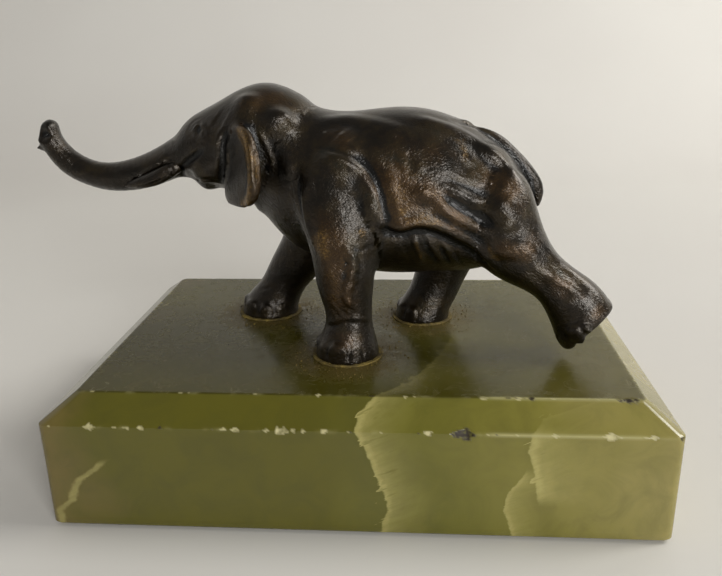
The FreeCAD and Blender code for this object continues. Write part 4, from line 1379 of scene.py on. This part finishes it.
def woolBaize():
    # felted wool cloth: matt, with short fibres that lie every way and a faint bloom at the edge
    material, tree = newMaterial("feltedWoolBaize")
    where = placesInMm(tree)
    fibres = grain(tree, where, 0.4, 4, 0.75, 2.0)
    patches = grain(tree, where, 8, 2, 0.5)
    colour = addNode(tree, "ValToRGB", links={"Fac": calc(tree, "MULTIPLY_ADD", patches, 0.3,
                                                         calc(tree, "MULTIPLY", fibres, 0.7))},
                     stops=[(0.3, "#16301b"), (0.55, "#25492a"), (0.8, "#3c6440")])
    relief = addNode(tree, "Bump", values={"Strength": 1.0, "Distance": 0.12 * mm}, links={"Height": fibres})
    shader = addNode(tree, "BsdfPrincipled",
                     values={"Roughness": 0.95, "Sheen Weight": 0.5, "Sheen Roughness": 0.5},
                     links={"Base Color": colour, "Normal": relief})
    addNode(tree, "OutputMaterial", links={0: shader})
    return material


def turnedMetal(name, dull, bright, roughness, toolMark):
    # bar or sheet metal that was turned or plated: fine rings of the tool, and a duller film over it
    material, tree = newMaterial(name)
    where = placesInMm(tree)
    film = grain(tree, where, 1.6, 3, 0.6)
    marks = addNode(tree, "TexWave", {"bands_direction": "Z"},
                    {"Scale": 0.314 / toolMark, "Distortion": 0.4, "Detail": 1.0}, {"Vector": where})
    colour = addNode(tree, "ValToRGB", links={"Fac": film}, stops=[(0.35, dull), (0.65, bright)])
    rough = between(tree, film, 0.3, 0.7, roughness + 0.15, roughness)
    relief = addNode(tree, "Bump", values={"Strength": 0.4, "Distance": 0.05 * mm}, links={"Height": marks})
    shader = addNode(tree, "BsdfPrincipled", values={"Metallic": 1.0},
                     links={"Base Color": colour, "Roughness": rough, "Normal": relief})
    addNode(tree, "OutputMaterial", links={0: shader})
    return material


castBronze = patinatedBronze()
dress(bronzeElephant, castBronze)
for piece in tusks:
    dress(piece, castBronze)
dress(onyxBlock, greenOnyx())
compound = settingCompound()
for piece in crusts:
    dress(piece, compound)
dress(greenBaize, woolBaize())

# drawn brass is yellow and takes a brown film; zinc-plated steel is blue-grey with a dull bloom
studBrass = turnedMetal("drawnBrass", "#8d6c34", "#c9a254", 0.28, 0.5)
zincSteel = turnedMetal("zincPlatedSteel", "#8c8f92", "#b9bcbf", 0.34, 0.2)
for foot in plantedFeet:
    for node, metal in (("_stud", studBrass), ("_washer", zincSteel), ("_nut", zincSteel)):
        for slot in nodes[foot + node].material_slots:
            slot.material = metal
print("materials done")


# the floor, the lights and the camera

stage = {"width": 3.2, "depth": 1.1, "height": 1.1, "bend": 0.3}     # metres


def buildStage():
    # a pale sweep: a sheet that lies flat and curves up behind
    deselectAll()
    bpy.ops.mesh.primitive_plane_add(size=1, location=(0, -0.2, 0))
    sweep = bpy.context.active_object
    sweep.name = "pale_sweep"
    sweep.scale = (stage["width"], stage["depth"], 1)
    applyPlace(sweep)
    selectRim(sweep, lambda a, b: a.y > 0.3 and b.y > 0.3)
    steps = 16
    for k in range(steps):
        turn = math.radians(90) * (k + 0.5) / steps
        stepLength = stage["bend"] * math.radians(90) / steps
        bpy.ops.mesh.extrude_region_move(TRANSFORM_OT_translate={
            "value": (0, stepLength * math.cos(turn), stepLength * math.sin(turn))})
    bpy.ops.mesh.extrude_region_move(TRANSFORM_OT_translate={"value": (0, 0, stage["height"])})
    bpy.ops.object.mode_set(mode="OBJECT")
    bpy.ops.object.shade_smooth()
    # matt painted card: even, with a barely seen drift of tone
    material, tree = newMaterial("matWhiteCard")
    drift = grain(tree, placesInMm(tree), 300, 2, 0.5)
    tint = addNode(tree, "ValToRGB", links={"Fac": drift}, stops=[(0.3, "#d2cfca"), (0.7, "#d9d7d2")])
    shader = addNode(tree, "BsdfPrincipled", values={"Roughness": 0.85}, links={"Base Color": tint})
    addNode(tree, "OutputMaterial", links={0: shader})
    dress(sweep, material)


def addLight(name, place, aim, size, power, colour):
    data = bpy.data.lights.new(name, "AREA")
    data.shape = "RECTANGLE"
    data.size, data.size_y = size
    data.energy = power
    data.color = linear(colour)[:3]
    light = bpy.data.objects.new(name, data)
    bpy.context.scene.collection.objects.link(light)
    light.location = place
    light.rotation_euler = (Vector(aim) - Vector(place)).to_track_quat("-Z", "Y").to_euler()


# name: place, point it aims at, size, watts, colour
lights = {
    "window": ((0.58, -1.05, 0.42), (0, 0, 0.06), (0.46, 0.58), 11, "#fdfcfa"),
    "leftFill": ((-0.85, 0.1, 0.5), (-0.25, -0.05, 0), (0.8, 0.8), 0.6, "#fffaf2"),
    "wallWash": ((1.0, 0.15, 0.9), (0.35, 0.65, 0.35), (0.6, 0.6), 11.5, "#fffdf8"),
}


def lightScene():
    for name, settings in lights.items():
        addLight(name, *settings)
    world = bpy.data.worlds.new("softRoom")
    world.use_nodes = True
    background = world.node_tree.nodes["Background"]
    background.inputs[0].default_value = linear("#e2e0dc")
    background.inputs[1].default_value = 0.26
    bpy.context.scene.world = world


# place in mm, turns in degrees, lens in mm
camera = {"place": (13.4, -187.3, 106.3), "yaw": 4.41, "pitch": 18.79, "roll": -1.1, "lens": 36.94}


def placeCamera():
    data = bpy.data.cameras.new("camera")
    data.lens = camera["lens"]
    data.sensor_width = 36
    data.clip_start = 0.01
    eye = bpy.data.objects.new("camera", data)
    bpy.context.scene.collection.objects.link(eye)
    turn = (Matrix.Rotation(math.radians(camera["yaw"]), 4, "Z")
            @ Matrix.Rotation(math.radians(90 - camera["pitch"]), 4, "X")
            @ Matrix.Rotation(math.radians(camera["roll"]), 4, "Z"))
    eye.matrix_world = Matrix.Translation(Vector(camera["place"]) * mm) @ turn
    bpy.context.scene.camera = eye
    bpy.context.scene.view_settings.view_transform = "Standard"


buildStage()
lightScene()
placeCamera()
print("stage, lights and camera set")
